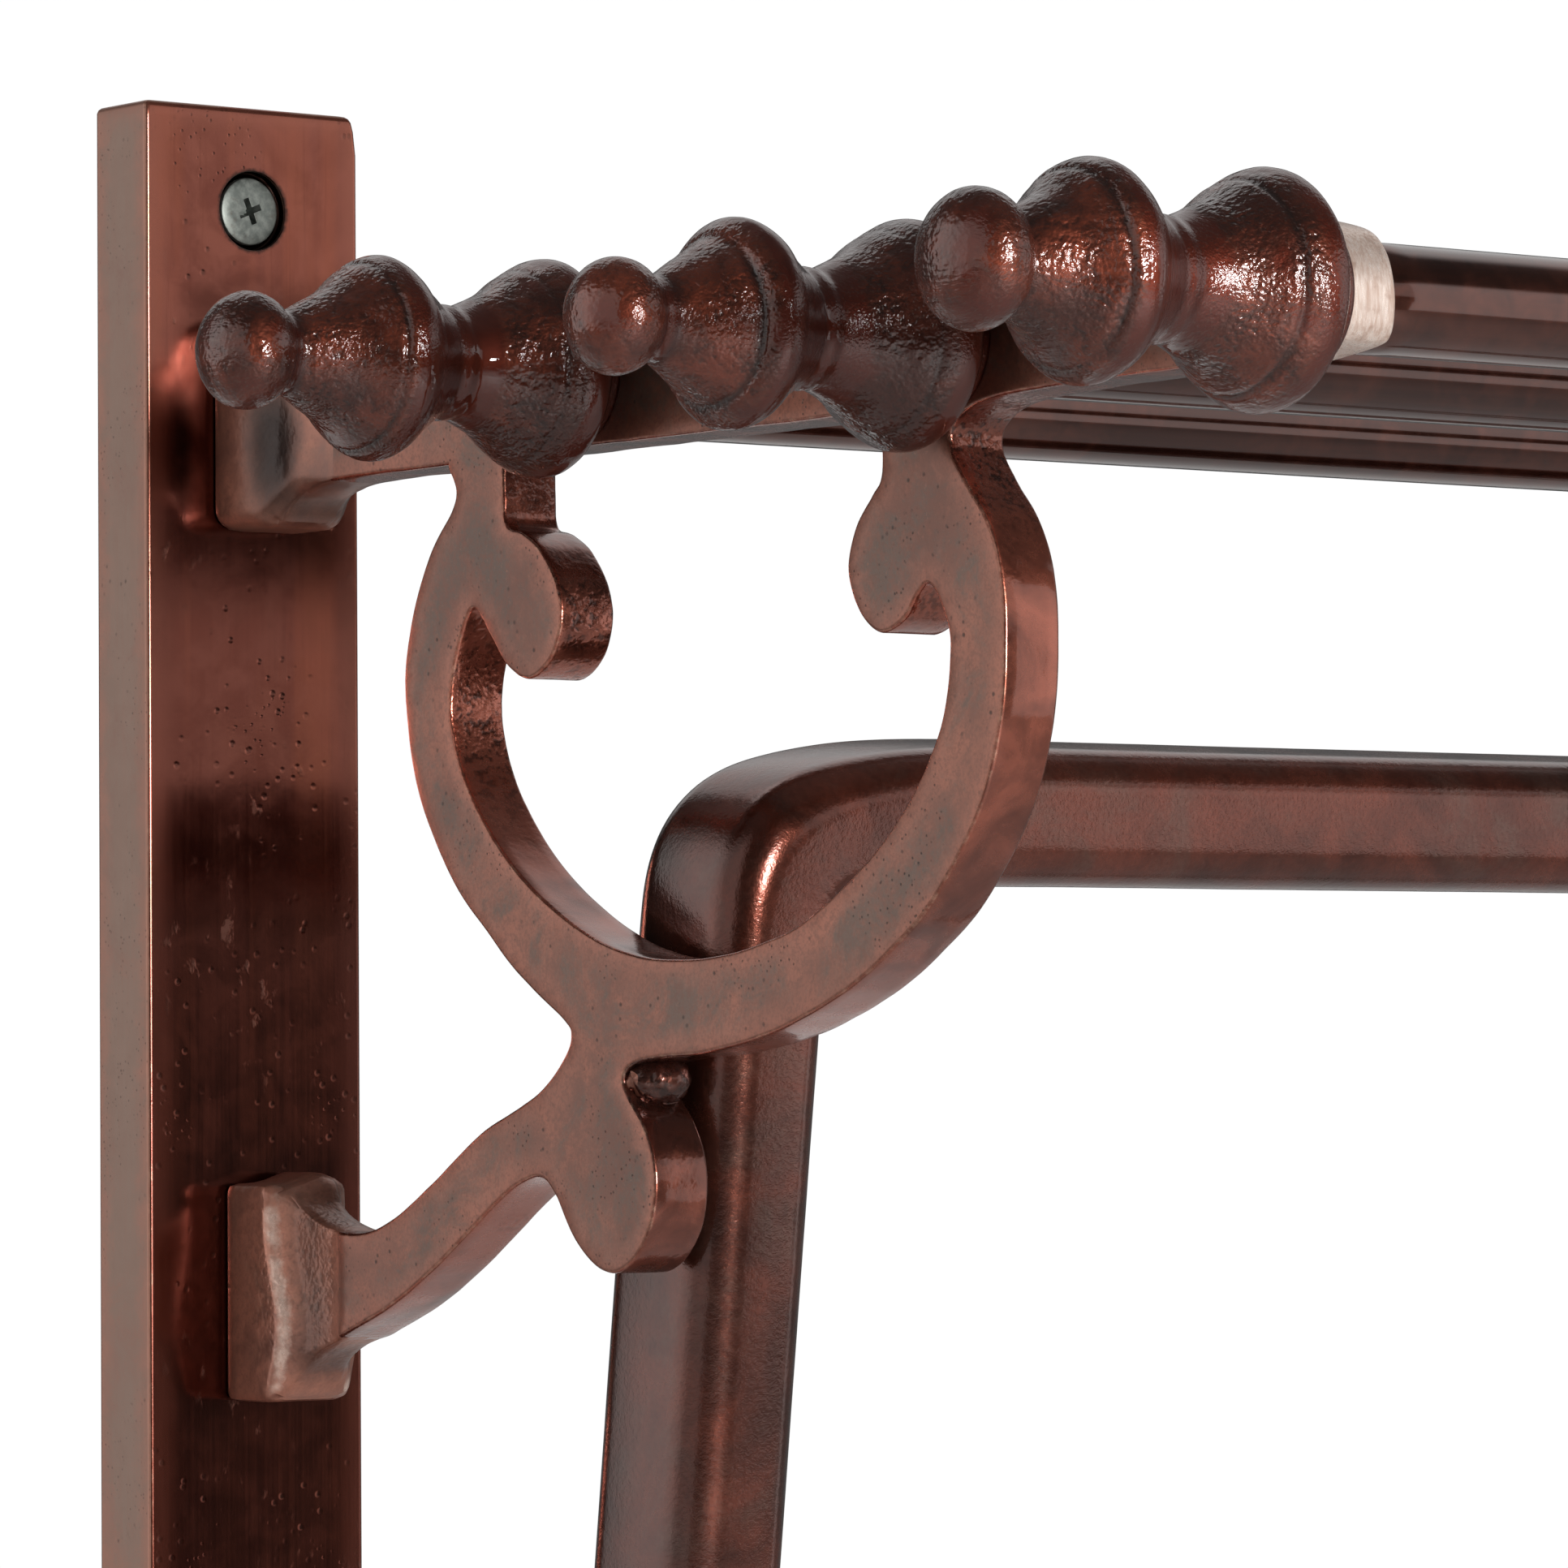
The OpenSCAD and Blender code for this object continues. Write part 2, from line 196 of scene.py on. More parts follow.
def lacquer(name, dark, red, grey, red_at=(0.42, 0.66), grey_at=(0.55, 0.75), grey_amt=0.6, rough=(0.26, 0.42), coat=1.0, coat_rough=0.08,
            grain=0.02, fine=1.3, metallic=0.8, big=0.045, mid=0.22, brush=None, brush_amt=0.4, pits=0.0, wear_sheen=None, wear_sheen_amt=0.85,
            glow=None, cast=0.0, marks=None, speck=0.0, soot_and_shade=0.0, stain=0.5, bead=0.0, gloss=None, broken=0.0, wear_sheen_colour=COPPER, coat_ior=1.5):
    """Red-brown lacquer over bronze. brush is the stretch of fine lines along x, y, z; wear_sheen is how far bright
    metal runs in from an arris, in mm, as wear and, on the feet, as a painted highlight; glow is (colour, reach in mm,
    amount) of the thinner lacquer beside an arris; cast is the height, in mm, of the cast skin where the mesh says it
    was left rough, and bead that of the beads on it; gloss is (colour, amount) where it was not; marks is the stretch
    and turn of file marks; speck mottles the colour finely."""
    t = Tree(name)
    v = t.mm()
    n1 = t.noise(v, big, 3.0, 0.55, 0.4)
    n2 = t.noise(v, mid, 5.0, 0.60, 0.6)
    n3 = t.noise(v, fine, 3.0, 0.6)
    n4 = t.noise(t.mm(off=(11, 3, 29)), fine * 2.7, 2.0, 0.6)
    tone = t.math("ADD", t.math("MULTIPLY", n1, 0.6), t.math("MULTIPLY", n2, 0.4))
    col = t.mix(t.span(tone, *red_at), dark, red)
    cloud = t.math("ADD", t.math("MULTIPLY", t.noise(t.mm(off=(31, 7, 3)), 0.07, 8.0, 0.66, 0.9), 0.8), t.math("MULTIPLY", n3, 0.2))
    grey_f = t.span(cloud, grey_at[0], grey_at[1], 0.0, grey_amt)
    if glow:
        e = t.attr("edge")
        ragged = t.math("ADD", t.math("MULTIPLY", t.math("SUBTRACT", n2, 0.5), glow[1] * 2.2), t.math("MULTIPLY", t.math("SUBTRACT", n3, 0.5), glow[1] * 0.8))
        near = t.span(t.math("ADD", e, ragged), -0.3 * glow[1], 1.3 * glow[1], 1.0, 0.0)
        grey_f = t.math("MULTIPLY", grey_f, t.math("SUBTRACT", 1.0, t.math("MULTIPLY", near, 0.8)))
        col = t.mix(grey_f, col, grey)
        col = t.mix(t.math("MULTIPLY", near, glow[2]), col, glow[0])
    else:
        col = t.mix(grey_f, col, grey)
    if speck:
        sp = t.math("ADD", t.math("MULTIPLY", n3, 0.5), t.math("MULTIPLY", t.noise(t.mm(off=(7, 7, 1)), 2.6, 4.0, 0.7), 0.5))
        col = t.mix(t.span(sp, 0.56, 0.40, 0.0, speck), col, dark)
        col = t.mix(t.span(sp, 0.56, 0.72, 0.0, speck), col, red)
    # height in mm
    h = t.math("MULTIPLY", t.math("ADD", n3, t.math("MULTIPLY", n4, 0.4)), grain)
    r = t.math("ADD", t.span(n2, 0.25, 0.8, rough[0], rough[1]), t.math("MULTIPLY", t.math("SUBTRACT", n3, 0.5), 0.10))
    if brush:
        lines = t.noise(t.mm(*brush), 1.0, 3.0, 0.65)
        col = t.mix(t.span(lines, 0.35, 0.75, 0.0, brush_amt), col, red)
        r = t.math("ADD", r, t.math("MULTIPLY", t.math("SUBTRACT", lines, 0.5), 0.14))
        h = t.math("ADD", h, t.math("MULTIPLY", lines, grain * 0.5))
    if cast:
        c = t.attr("rough")
        beads = t.noise(t.mm(off=(2, 8, 5)), 1.35, 1.0, 0.5)
        grit = t.noise(t.mm(off=(1, 6, 2)), 3.6, 2.0, 0.5)
        lumps = t.noise(t.mm(off=(9, 1, 3)), 0.42, 2.0, 0.5)
        skin = t.math("ADD", t.math("ADD", beads, t.math("MULTIPLY", grit, 0.10)), t.math("MULTIPLY", lumps, 0.5))
        h = t.math("ADD", h, t.math("MULTIPLY", t.math("MULTIPLY", c, skin), cast))
        if bead:
            dome = t.span(t.voronoi(t.mm(off=(3, 1, 7)), 1.15), 0.02, 0.66, 1.0, 0.0)
            h = t.math("ADD", h, t.math("MULTIPLY", t.math("MULTIPLY", c, dome), bead))
        if gloss:
            col = t.mix(t.span(c, 0.42, 0.14, 0.0, gloss[1]), col, gloss[0])
        low = t.span(t.math("ADD", t.math("MULTIPLY", beads, 0.6), t.math("MULTIPLY", lumps, 0.4)), 0.50, 0.36)
        col = t.mix(t.math("MULTIPLY", c, t.math("MULTIPLY", low, stain)), col, (0.016, 0.009, 0.007))
    # painted shade, with some dirt, in the hollows, creases, grooves and contact lines that the mesh attribute marks
    if soot_and_shade:
        col = t.mix(t.math("MULTIPLY", t.attr("soot_and_shade"), soot_and_shade), col, (0.012, 0.010, 0.009))
    if marks:
        m = t.noise(t.mm(*marks), 1.0, 2.0, 0.5)
        gate = t.span(t.noise(t.mm(off=(6, 60, 6)), 0.11, 2.0, 0.5), 0.38, 0.52)
        h = t.math("ADD", h, t.math("MULTIPLY", t.math("MULTIPLY", m, gate), 0.080))
        col = t.mix(t.math("MULTIPLY", gate, t.span(m, 0.56, 0.68, 0.0, 0.35)), col, grey)
    if pits:
        gate = t.span(t.noise(t.mm(off=(3, 50, 9)), 0.09, 3.0, 0.6), 0.50, 0.64)
        hole = t.math("MULTIPLY", t.span(t.voronoi(v, 0.62), 0.06, 0.22, 1.0, 0.0), gate)
        small = t.math("MULTIPLY", t.span(t.voronoi(t.mm(off=(9, 9, 9)), 1.15), 0.08, 0.24, 1.0, 0.0),
                       t.span(t.noise(t.mm(off=(70, 5, 1)), 0.07, 3.0, 0.6), 0.46, 0.60))
        hole = t.math("MAXIMUM", hole, small)
        col = t.mix(t.math("MULTIPLY", hole, pits), col, (0.040, 0.026, 0.020))
        h = t.math("SUBTRACT", h, t.math("MULTIPLY", hole, 0.03 * pits))
        r = t.math("ADD", r, t.math("MULTIPLY", hole, 0.2))
    # bright metal along the arrises: wear, and on the feet a painted highlight
    if wear_sheen:
        e = t.attr("edge")
        ragged = t.math("ADD", e, t.math("MULTIPLY", t.math("SUBTRACT", t.noise(t.mm(off=(5, 5, 77)), 0.75, 4.0, 0.7), 0.5), wear_sheen * (1.5 if broken else 3.0)))
        wear_sheen_mask = t.span(ragged, wear_sheen * (-0.3 if broken else 0.1), wear_sheen, wear_sheen_amt, 0.0)
        if broken:
            wear_sheen_mask = t.math("MULTIPLY", wear_sheen_mask, t.span(t.noise(t.mm(off=(8, 5, 2)), broken, 3.0, 0.6), 0.42, 0.56))
            r = t.math("SUBTRACT", r, t.math("MULTIPLY", wear_sheen_mask, 0.12))
        col = t.mix(wear_sheen_mask, col, wear_sheen_colour)
    nrm = t.bump(h, 1.0)
    return t.set(Base_Color=col, Metallic=metallic, Roughness=r, Coat_Weight=coat, Coat_Roughness=coat_rough, Coat_IOR=coat_ior,
                 Normal=nrm, Coat_Normal=nrm)


def stile_front():
    """Polished red-brown bronze with upright brushing, small pits, a dull skin along the arrises and a painted shade
    ring round each screw seat.
    """
    t = Tree("stile_lacquer")
    v = t.mm()
    x, y, z = t.xyz(v)
    n2 = t.noise(v, 0.16, 4.0, 0.58, 0.5)
    n3 = t.noise(v, 1.5, 3.0, 0.6)
    lines = t.noise(t.mm(1.7, 1.7, 0.035), 1.0, 3.0, 0.65)
    slow = t.noise(t.mm(0.20, 0.20, 0.012, (4, 9, 2)), 1.0, 2.0, 0.5)
    wave = t.noise(t.mm(off=(8, 2, 6)), 0.055, 2.0, 0.5)
    col = t.mix(t.span(n2, 0.32, 0.68), (0.235, 0.066, 0.044), (0.325, 0.102, 0.070))
    col = t.mix(t.span(slow, 0.45, 0.66, 0.0, 0.6), col, (0.40, 0.115, 0.066))
    col = t.mix(t.span(lines, 0.44, 0.30, 0.0, 0.30), col, (0.20, 0.050, 0.030))
    e = t.attr("edge")
    near = t.span(t.math("ADD", e, t.math("MULTIPLY", t.math("SUBTRACT", n2, 0.5), 5.0)), 0.3, 4.6, 1.0, 0.0)
    col = t.mix(t.math("MULTIPLY", near, 0.5), col, (0.36, 0.118, 0.076))
    # pits and low blisters, in patches
    gate = t.span(t.noise(t.mm(off=(3, 50, 9)), 0.060, 3.0, 0.55), 0.47, 0.61)
    pit = t.math("MULTIPLY", t.span(t.voronoi(v, 0.46), 0.07, 0.25, 1.0, 0.0), gate)
    small = t.math("MULTIPLY", t.span(t.voronoi(t.mm(off=(4, 4, 4)), 1.0), 0.09, 0.26, 1.0, 0.0), t.span(t.noise(t.mm(off=(3, 5, 80)), 0.050, 3.0, 0.55), 0.56, 0.68))
    pit = t.math("MAXIMUM", pit, small)
    scab = t.math("MULTIPLY", t.span(t.noise(t.mm(1.0, 1.0, 0.6, (6, 2, 7)), 0.42, 3.0, 0.6), 0.58, 0.70), t.span(t.noise(t.mm(off=(7, 20, 3)), 0.045, 2.0, 0.5), 0.54, 0.68))
    col = t.mix(t.span(z, 240.0, 205.0, 0.0, 0.82), col, (0.095, 0.018, 0.009))
    # painted shade and shadow round the brackets' feet, with some lacquer gathered there
    for z0, hw in ((280.0, 7.5), (171.5, 6.3)):
        fx = t.math("MAXIMUM", t.math("SUBTRACT", t.math("ABSOLUTE", t.math("SUBTRACT", t.math("ABSOLUTE", x), 232.7)), hw), 0.0)
        fz = t.math("MAXIMUM", t.math("SUBTRACT", t.math("ABSOLUTE", t.math("SUBTRACT", z, z0)), 13.5), 0.0)
        fd = t.math("SQRT", t.math("ADD", t.math("MULTIPLY", fx, fx), t.math("MULTIPLY", fz, fz)))
        col = t.mix(t.span(t.math("ADD", fd, t.math("MULTIPLY", t.math("SUBTRACT", n2, 0.5), 3.0)), 0.0, 7.5, 0.62, 0.0), col, (0.070, 0.016, 0.009))
    col = t.mix(t.math("MULTIPLY", pit, 0.45), col, (0.060, 0.034, 0.026))
    col = t.mix(t.math("MULTIPLY", scab, 0.25), col, (0.30, 0.20, 0.16))
    # painted shade in a ring round each screw seat
    dx = t.math("SUBTRACT", t.math("ABSOLUTE", x), 234.0)
    dz = t.math("SUBTRACT", t.math("ABSOLUTE", z), 307.0)
    rad = t.math("SQRT", t.math("ADD", t.math("MULTIPLY", dx, dx), t.math("MULTIPLY", dz, dz)))
    seat = t.span(t.math("ADD", rad, t.math("MULTIPLY", n3, 0.8)), 5.3, 6.0, 0.94, 0.0)
    col = t.mix(seat, col, (0.034, 0.019, 0.015))
    ragged = t.math("ADD", e, t.math("MULTIPLY", t.math("SUBTRACT", t.noise(t.mm(off=(5, 5, 77)), 0.45, 4.0, 0.7), 0.5), 1.2))
    col = t.mix(t.span(ragged, 0.05, 0.40, 0.22, 0.0), col, COPPER)
    r = t.math("ADD", t.span(n2, 0.3, 0.7, 0.12, 0.17), t.math("MULTIPLY", t.math("SUBTRACT", lines, 0.5), 0.10))
    r = t.math("ADD", r, t.math("MULTIPLY", t.math("MAXIMUM", t.math("MULTIPLY", near, 0.5), scab), 0.16))
    h = t.math("ADD", t.math("MULTIPLY", n3, 0.0020), t.math("MULTIPLY", lines, 0.0030))
    h = t.math("ADD", h, t.math("MULTIPLY", wave, 0.035))
    h = t.math("ADD", t.math("SUBTRACT", h, t.math("MULTIPLY", pit, 0.020)), t.math("MULTIPLY", scab, 0.014))
    nrm = t.bump(h, 1.0)
    metal = t.math("SUBTRACT", 0.99, t.math("MULTIPLY", near, 0.16))
    return t.set(Base_Color=col, Metallic=metal, Roughness=r, Coat_Weight=0.25, Coat_Roughness=0.15, Coat_IOR=1.5, Normal=nrm, Coat_Normal=nrm)


M = {}
M["finial"] = lacquer("finial_lacquer", (0.076, 0.018, 0.010), (0.270, 0.060, 0.030), (0.140, 0.070, 0.050), rough=(0.48, 0.56), coat=1.0, coat_rough=0.016, coat_ior=1.56,
                      grain=0.002, fine=1.25, red_at=(0.40, 0.66), grey_at=(0.58, 0.78), grey_amt=0.25, cast=0.32, bead=0.03, gloss=((0.120, 0.018, 0.008), 0.80),
                      marks=(3.0, 0.22, 3.0, (0, 0, 0), (0.5, 0.7, 0.5)), metallic=0.88, soot_and_shade=0.9, stain=0.65, big=0.035)
M["rail"] = lacquer("rail_lacquer", (0.065, 0.022, 0.015), (0.165, 0.048, 0.029), (0.070, 0.046, 0.039), rough=(0.15, 0.22), coat=1.0, coat_rough=0.045,
                    grain=0.0012, brush=(0.02, 0.9, 0.9), brush_amt=0.25, big=0.03, grey_amt=0.4, metallic=0.88)
M["bail"] = lacquer("bail_lacquer", (0.072, 0.020, 0.012), (0.225, 0.056, 0.032), (0.140, 0.082, 0.062), rough=(0.20, 0.30), coat=0.7, coat_rough=0.06,
                    grain=0.036, big=0.022, mid=0.11, red_at=(0.38, 0.64), grey_at=(0.46, 0.66), grey_amt=0.5, fine=1.5, metallic=0.80, speck=0.3, soot_and_shade=0.8)
M["face"] = lacquer("bracket_face", (0.175, 0.074, 0.050), (0.385, 0.146, 0.093), (0.120, 0.092, 0.073), rough=(0.36, 0.48), coat=0.5, coat_rough=0.30,
                    grain=0.006, pits=0.7, wear_sheen=0.40, wear_sheen_amt=0.35, big=0.038, mid=0.3, grey_at=(0.44, 0.60), grey_amt=0.80, glow=((0.390, 0.140, 0.088), 3.4, 0.70),
                    red_at=(0.38, 0.62), speck=0.6)
M["edge"] = lacquer("bracket_edge", (0.150, 0.044, 0.028), (0.450, 0.130, 0.080), (0.180, 0.108, 0.082), rough=(0.22, 0.32), coat=0.7, coat_rough=0.06,
                    grain=0.006, wear_sheen=0.34, wear_sheen_amt=0.5, grey_at=(0.56, 0.78), grey_amt=0.40, big=0.035, mid=0.14, red_at=(0.34, 0.60), cast=0.13, bead=0.02, soot_and_shade=0.92, metallic=0.88,
                    stain=0.85)
# the foot's pale line along its ridge and upper corner is a painted highlight as well as rubbed metal
M["foot"] = lacquer("bracket_foot", (0.280, 0.124, 0.090), (0.500, 0.205, 0.135), (0.190, 0.130, 0.102), rough=(0.30, 0.42), coat=0.2, coat_rough=0.16,
                    grain=0.010, wear_sheen=0.80, wear_sheen_amt=0.75, broken=0.15, wear_sheen_colour=(0.90, 0.68, 0.57), grey_at=(0.50, 0.70), grey_amt=0.5, big=0.06, mid=0.3, red_at=(0.32, 0.58), cast=0.12,
                    bead=0.02, speck=0.4, soot_and_shade=0.95, metallic=0.55, stain=0.40)
M["stile"] = stile_front()
M["stile_side"] = lacquer("stile_side_lacquer", (0.245, 0.132, 0.098), (0.350, 0.166, 0.115), (0.275, 0.175, 0.131), rough=(0.36, 0.46), coat=0.5, coat_rough=0.30,
                          grain=0.004, brush=(1.6, 1.6, 0.04), brush_amt=0.2, big=0.03, grey_at=(0.30, 0.52), grey_amt=0.9, wear_sheen=0.30, wear_sheen_amt=0.35,
                          glow=((0.385, 0.165, 0.110), 3.0, 0.8), pits=0.3)
M["brass"] = lacquer("turned_brass", (0.30, 0.17, 0.08), (0.50, 0.31, 0.15), (0.22, 0.15, 0.10), rough=(0.28, 0.42), coat=0.1, coat_rough=0.3,
                     grain=0.004, metallic=1.0, brush=(1.8, 0.2, 0.2))


def bare_copper():
    t = Tree("bare_copper")
    lines = t.noise(t.mm(2.6, 2.6, 0.22), 1.0, 4.0, 0.7)
    cross = t.noise(t.mm(0.5, 0.5, 1.6, (4, 1, 8)), 1.0, 3.0, 0.6)
    blot = t.noise(t.mm(), 0.35, 4.0, 0.6)
    col = t.mix(t.span(lines, 0.3, 0.7), (0.66, 0.47, 0.38), (0.95, 0.80, 0.71))
    col = t.mix(t.span(blot, 0.56, 0.72, 0.0, 0.6), col, (0.42, 0.24, 0.17))
    h = t.math("ADD", t.math("MULTIPLY", lines, 0.9), t.math("MULTIPLY", cross, 0.3))
    r = t.span(lines, 0.3, 0.7, 0.40, 0.26)
    return t.set(Base_Color=col, Metallic=0.55, Roughness=r, Normal=t.bump(h, 0.035))


def zinc():
    t = Tree("dull_zinc")
    v = t.mm()
    n = t.noise(v, 0.9, 5.0, 0.65)
    f = t.noise(v, 4.5, 3.0, 0.6)
    col = t.mix(t.span(n, 0.35, 0.7), (0.17, 0.185, 0.168), (0.285, 0.300, 0.272))
    col = t.mix(t.span(t.noise(t.mm(off=(4, 4, 4)), 0.6, 3.0), 0.6, 0.75, 0.0, 0.6), col, (0.14, 0.12, 0.10))
    r = t.span(n, 0.3, 0.7, 0.40, 0.55)
    return t.set(Base_Color=col, Metallic=0.9, Roughness=r, Normal=t.bump(t.math("ADD", n, t.math("MULTIPLY", f, 0.4)), 0.012))


M["bare"] = bare_copper()
M["zinc"] = zinc()


# ---- mesh helpers ------------------------------------------------------------------
def mesh_object(name, verts, faces, mats, sharp=35.0, recalc=True):
    me = bpy.data.meshes.new(name)
    me.from_pydata((np.asarray(verts, float) * MM).tolist(), [], [tuple(int(i) for i in f) for f in faces])
    if recalc:
        bm = bmesh.new()
        bm.from_mesh(me)
        bmesh.ops.remove_doubles(bm, verts=bm.verts, dist=2e-7)
        bmesh.ops.recalc_face_normals(bm, faces=bm.faces)
        bm.to_mesh(me)
        bm.free()
    for m in mats:
        me.materials.append(m)
    ob = bpy.data.objects.new(name, me)
    scene.collection.objects.link(ob)
    shade(ob, sharp)
    return ob


def shade(ob, sharp):
    me = ob.data
    me.polygons.foreach_set("use_smooth", np.ones(len(me.polygons), bool))
    if sharp:
        me.set_sharp_from_angle(angle=math.radians(sharp))
    me.update()


def boolean(a, b, op):
    """a becomes a op b; b goes."""
    md = a.modifiers.new("b", "BOOLEAN")
    md.operation = op
    md.object = b
    md.solver = "EXACT"
    dg = bpy.context.evaluated_depsgraph_get()
    dg.update()
    me = bpy.data.meshes.new_from_object(a.evaluated_get(dg))
    a.modifiers.clear()
    old = a.data
    a.data = me
    bpy.data.meshes.remove(old)
    bpy.data.objects.remove(b)
    return a


def coords(ob):
    co = np.zeros(len(ob.data.vertices) * 3)
    ob.data.vertices.foreach_get("co", co)
    return co.reshape(-1, 3) / MM


def put_coords(ob, co):
    ob.data.vertices.foreach_set("co", (np.asarray(co) * MM).ravel())
    ob.data.update()


def normals(ob):
    n = np.zeros(len(ob.data.vertices) * 3, np.float32)
    ob.data.vertices.foreach_get("normal", n)
    return n.reshape(-1, 3).astype(float)


def point_attr(ob, name, values):
    a = ob.data.attributes.get(name) or ob.data.attributes.new(name, "FLOAT", "POINT")
    a.data.foreach_set("value", np.asarray(values, np.float32))


def rings_to_faces(n_rings, n_seg, closed_ring=True):
    f = []
    for i in range(n_rings - 1):
        for j in range(n_seg if closed_ring else n_seg - 1):
            a, b = i * n_seg + j, i * n_seg + (j + 1) % n_seg
            f.append((a, b, b + n_seg, a + n_seg))
    return f


def tube_mesh(rings, cap=True):
    """Rings, each (m,3), joined to a closed skin with a fan at each end."""
    R = np.asarray(rings, float)
    k, m = R.shape[:2]
    V = R.reshape(-1, 3)
    F = rings_to_faces(k, m)
    if cap:
        V = np.vstack([V, R[0].mean(0), R[-1].mean(0)])
        a, b = len(V) - 2, len(V) - 1
        F += [(a, (j + 1) % m, j) for j in range(m)]
        F += [(b, (k - 1) * m + j, (k - 1) * m + (j + 1) % m) for j in range(m)]
    return V, F


def place(ob, body, slot, *nodes):
    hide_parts(*nodes)
    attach(ob, body)
    return ob


def cr(a, b, c, d, t):
    return 0.5 * (2 * b + (c - a) * t + (2 * a - 5 * b + 4 * c - d) * t * t + (3 * b - a - 3 * c + d) * t ** 3)


def run(P, n):
    """Smooth run through points P, n steps a span, without its last point."""
    P = np.asarray(P, float)
    k = len(P)
    return [cr(P[max(i - 1, 0)], P[i], P[i + 1], P[min(i + 2, k - 1)], j / n) for i in range(k - 1) for j in range(n)]


def resample(P, step):
    P = np.asarray(P, float)
    d = np.concatenate([[0], np.cumsum(np.linalg.norm(np.diff(P, axis=0), axis=1))])
    n = max(2, int(round(d[-1] / step)) + 1)
    s = np.linspace(0, d[-1], n)
    return np.stack([np.interp(s, d, P[:, i]) for i in range(P.shape[1])], 1)


# ---- flat castings: an outline with rounded arrises ---------------------------------
def signed_area(P):
    x, y = P[:, 0], P[:, 1]
    return 0.5 * np.sum(x * np.roll(y, -1) - np.roll(x, -1) * y)


def clean_loop(P, tol=0.05):
    out = [P[0]]
    for p in P[1:]:
        if np.linalg.norm(p - out[-1]) > tol:
            out.append(p)
    if np.linalg.norm(out[0] - out[-1]) <= tol:
        out.pop()
    return np.array(out)


def split_long(P, step):
    out = []
    for a, b in zip(P, np.roll(P, -1, axis=0)):
        n = max(1, int(math.ceil(np.linalg.norm(b - a) / step)))
        out += [a + (b - a) * k / n for k in range(n)]
    return np.array(out)


def inward(P):
    """Unit-miter inward offsets; material lies to the left of the loop's direction."""
    e = np.roll(P, -1, axis=0) - P
    e /= np.linalg.norm(e, axis=1)[:, None]
    n = np.stack([-e[:, 1], e[:, 0]], 1)
    n0 = np.roll(n, 1, axis=0)
    s = n + n0
    return s / np.maximum(1 + (n * n0).sum(1), 0.35)[:, None]


def inside(P, loops):
    c = np.zeros(len(P), bool)
    for L in loops:
        for a, b in zip(L, np.roll(L, -1, axis=0)):
            if a[1] == b[1]:
                continue
            m = (a[1] > P[:, 1]) != (b[1] > P[:, 1])
            xx = a[0] + (P[:, 1] - a[1]) / (b[1] - a[1]) * (b[0] - a[0])
            c ^= m & (P[:, 0] < xx)
    return c


def loop_distance(P, loops):
    d = np.full(len(P), 1e9)
    for L in loops:
        for a, b in zip(L, np.roll(L, -1, axis=0)):
            ab = b - a
            t = np.clip(((P - a) @ ab) / max(ab @ ab, 1e-9), 0, 1)
            d = np.minimum(d, np.linalg.norm(P - a - t[:, None] * ab, axis=1))
    return d


def casting(name, loops, xa, xb, r, mats, nb=3, nwall=5, grid=1.6, wave=0.0, step=1.2):
    """Loops of (y, z), outer one first, drawn out from xa to xb with arrises of radius r."""
    L = []
    for k, P in enumerate(loops):
        P = split_long(clean_loop(np.asarray(P, float)), step)
        if (signed_area(P) > 0) != (k == 0):
            P = P[::-1]
        if wave:
            q = np.c_[P / 7.0, np.full(len(P), xa / 7.0)]
            P = P - inward(P) * (wave * fbm(q, 2))[:, None]
        L.append(P)
    layers = []
    for k in range(nb + 1):
        th = k / nb * math.pi / 2
        layers.append((xa + r * (1 - math.cos(th)), r * (1 - math.sin(th))))
    for k in range(1, nwall):
        layers.append((xa + r + (xb - xa - 2 * r) * k / nwall, 0.0))
    for k in range(nb, -1, -1):
        th = k / nb * math.pi / 2
        layers.append((xb - r * (1 - math.cos(th)), r * (1 - math.sin(th))))
    V, F, caps = [], [], ([], [])
    for P in L:
        off = inward(P)
        base = len(V)
        m = len(P)
        for x, o in layers:
            Q = P + off * o
            V += [(x, q[0], q[1]) for q in Q]
        F += [tuple(base + i for i in f) for f in rings_to_faces(len(layers), m)]
        caps[0].append(P + off * layers[0][1])
        caps[1].append(P + off * layers[-1][1])
    for x, C in ((xa, caps[0]), (xb, caps[1])):
        pts = np.vstack(C)
        edges, o = [], 0
        for P in C:
            edges += [(o + i, o + (i + 1) % len(P)) for i in range(len(P))]
            o += len(P)
        lo, hi = pts.min(0), pts.max(0)
        gy, gz = np.meshgrid(np.arange(lo[0], hi[0], grid), np.arange(lo[1], hi[1], grid * 0.87))
        gy = gy + (np.arange(gy.shape[0]) % 2)[:, None] * grid / 2
        G = np.stack([gy.ravel(), gz.ravel()], 1)
        G = G[inside(G, C)]
        G = G[loop_distance(G, C) > grid * 0.55]
        res = delaunay_2d_cdt([Vector(p) for p in np.vstack([pts, G])], edges, [], 0, 1e-6)
        cv = np.array([(p.x, p.y) for p in res[0]])
        tri = np.array(res[2])
        tri = tri[inside(cv[tri].mean(1), C)]
        base = len(V)
        V += [(x, p[0], p[1]) for p in cv]
        F += [tuple(base + i for i in t) for t in tri]
    return mesh_object(name, V, F, mats), L


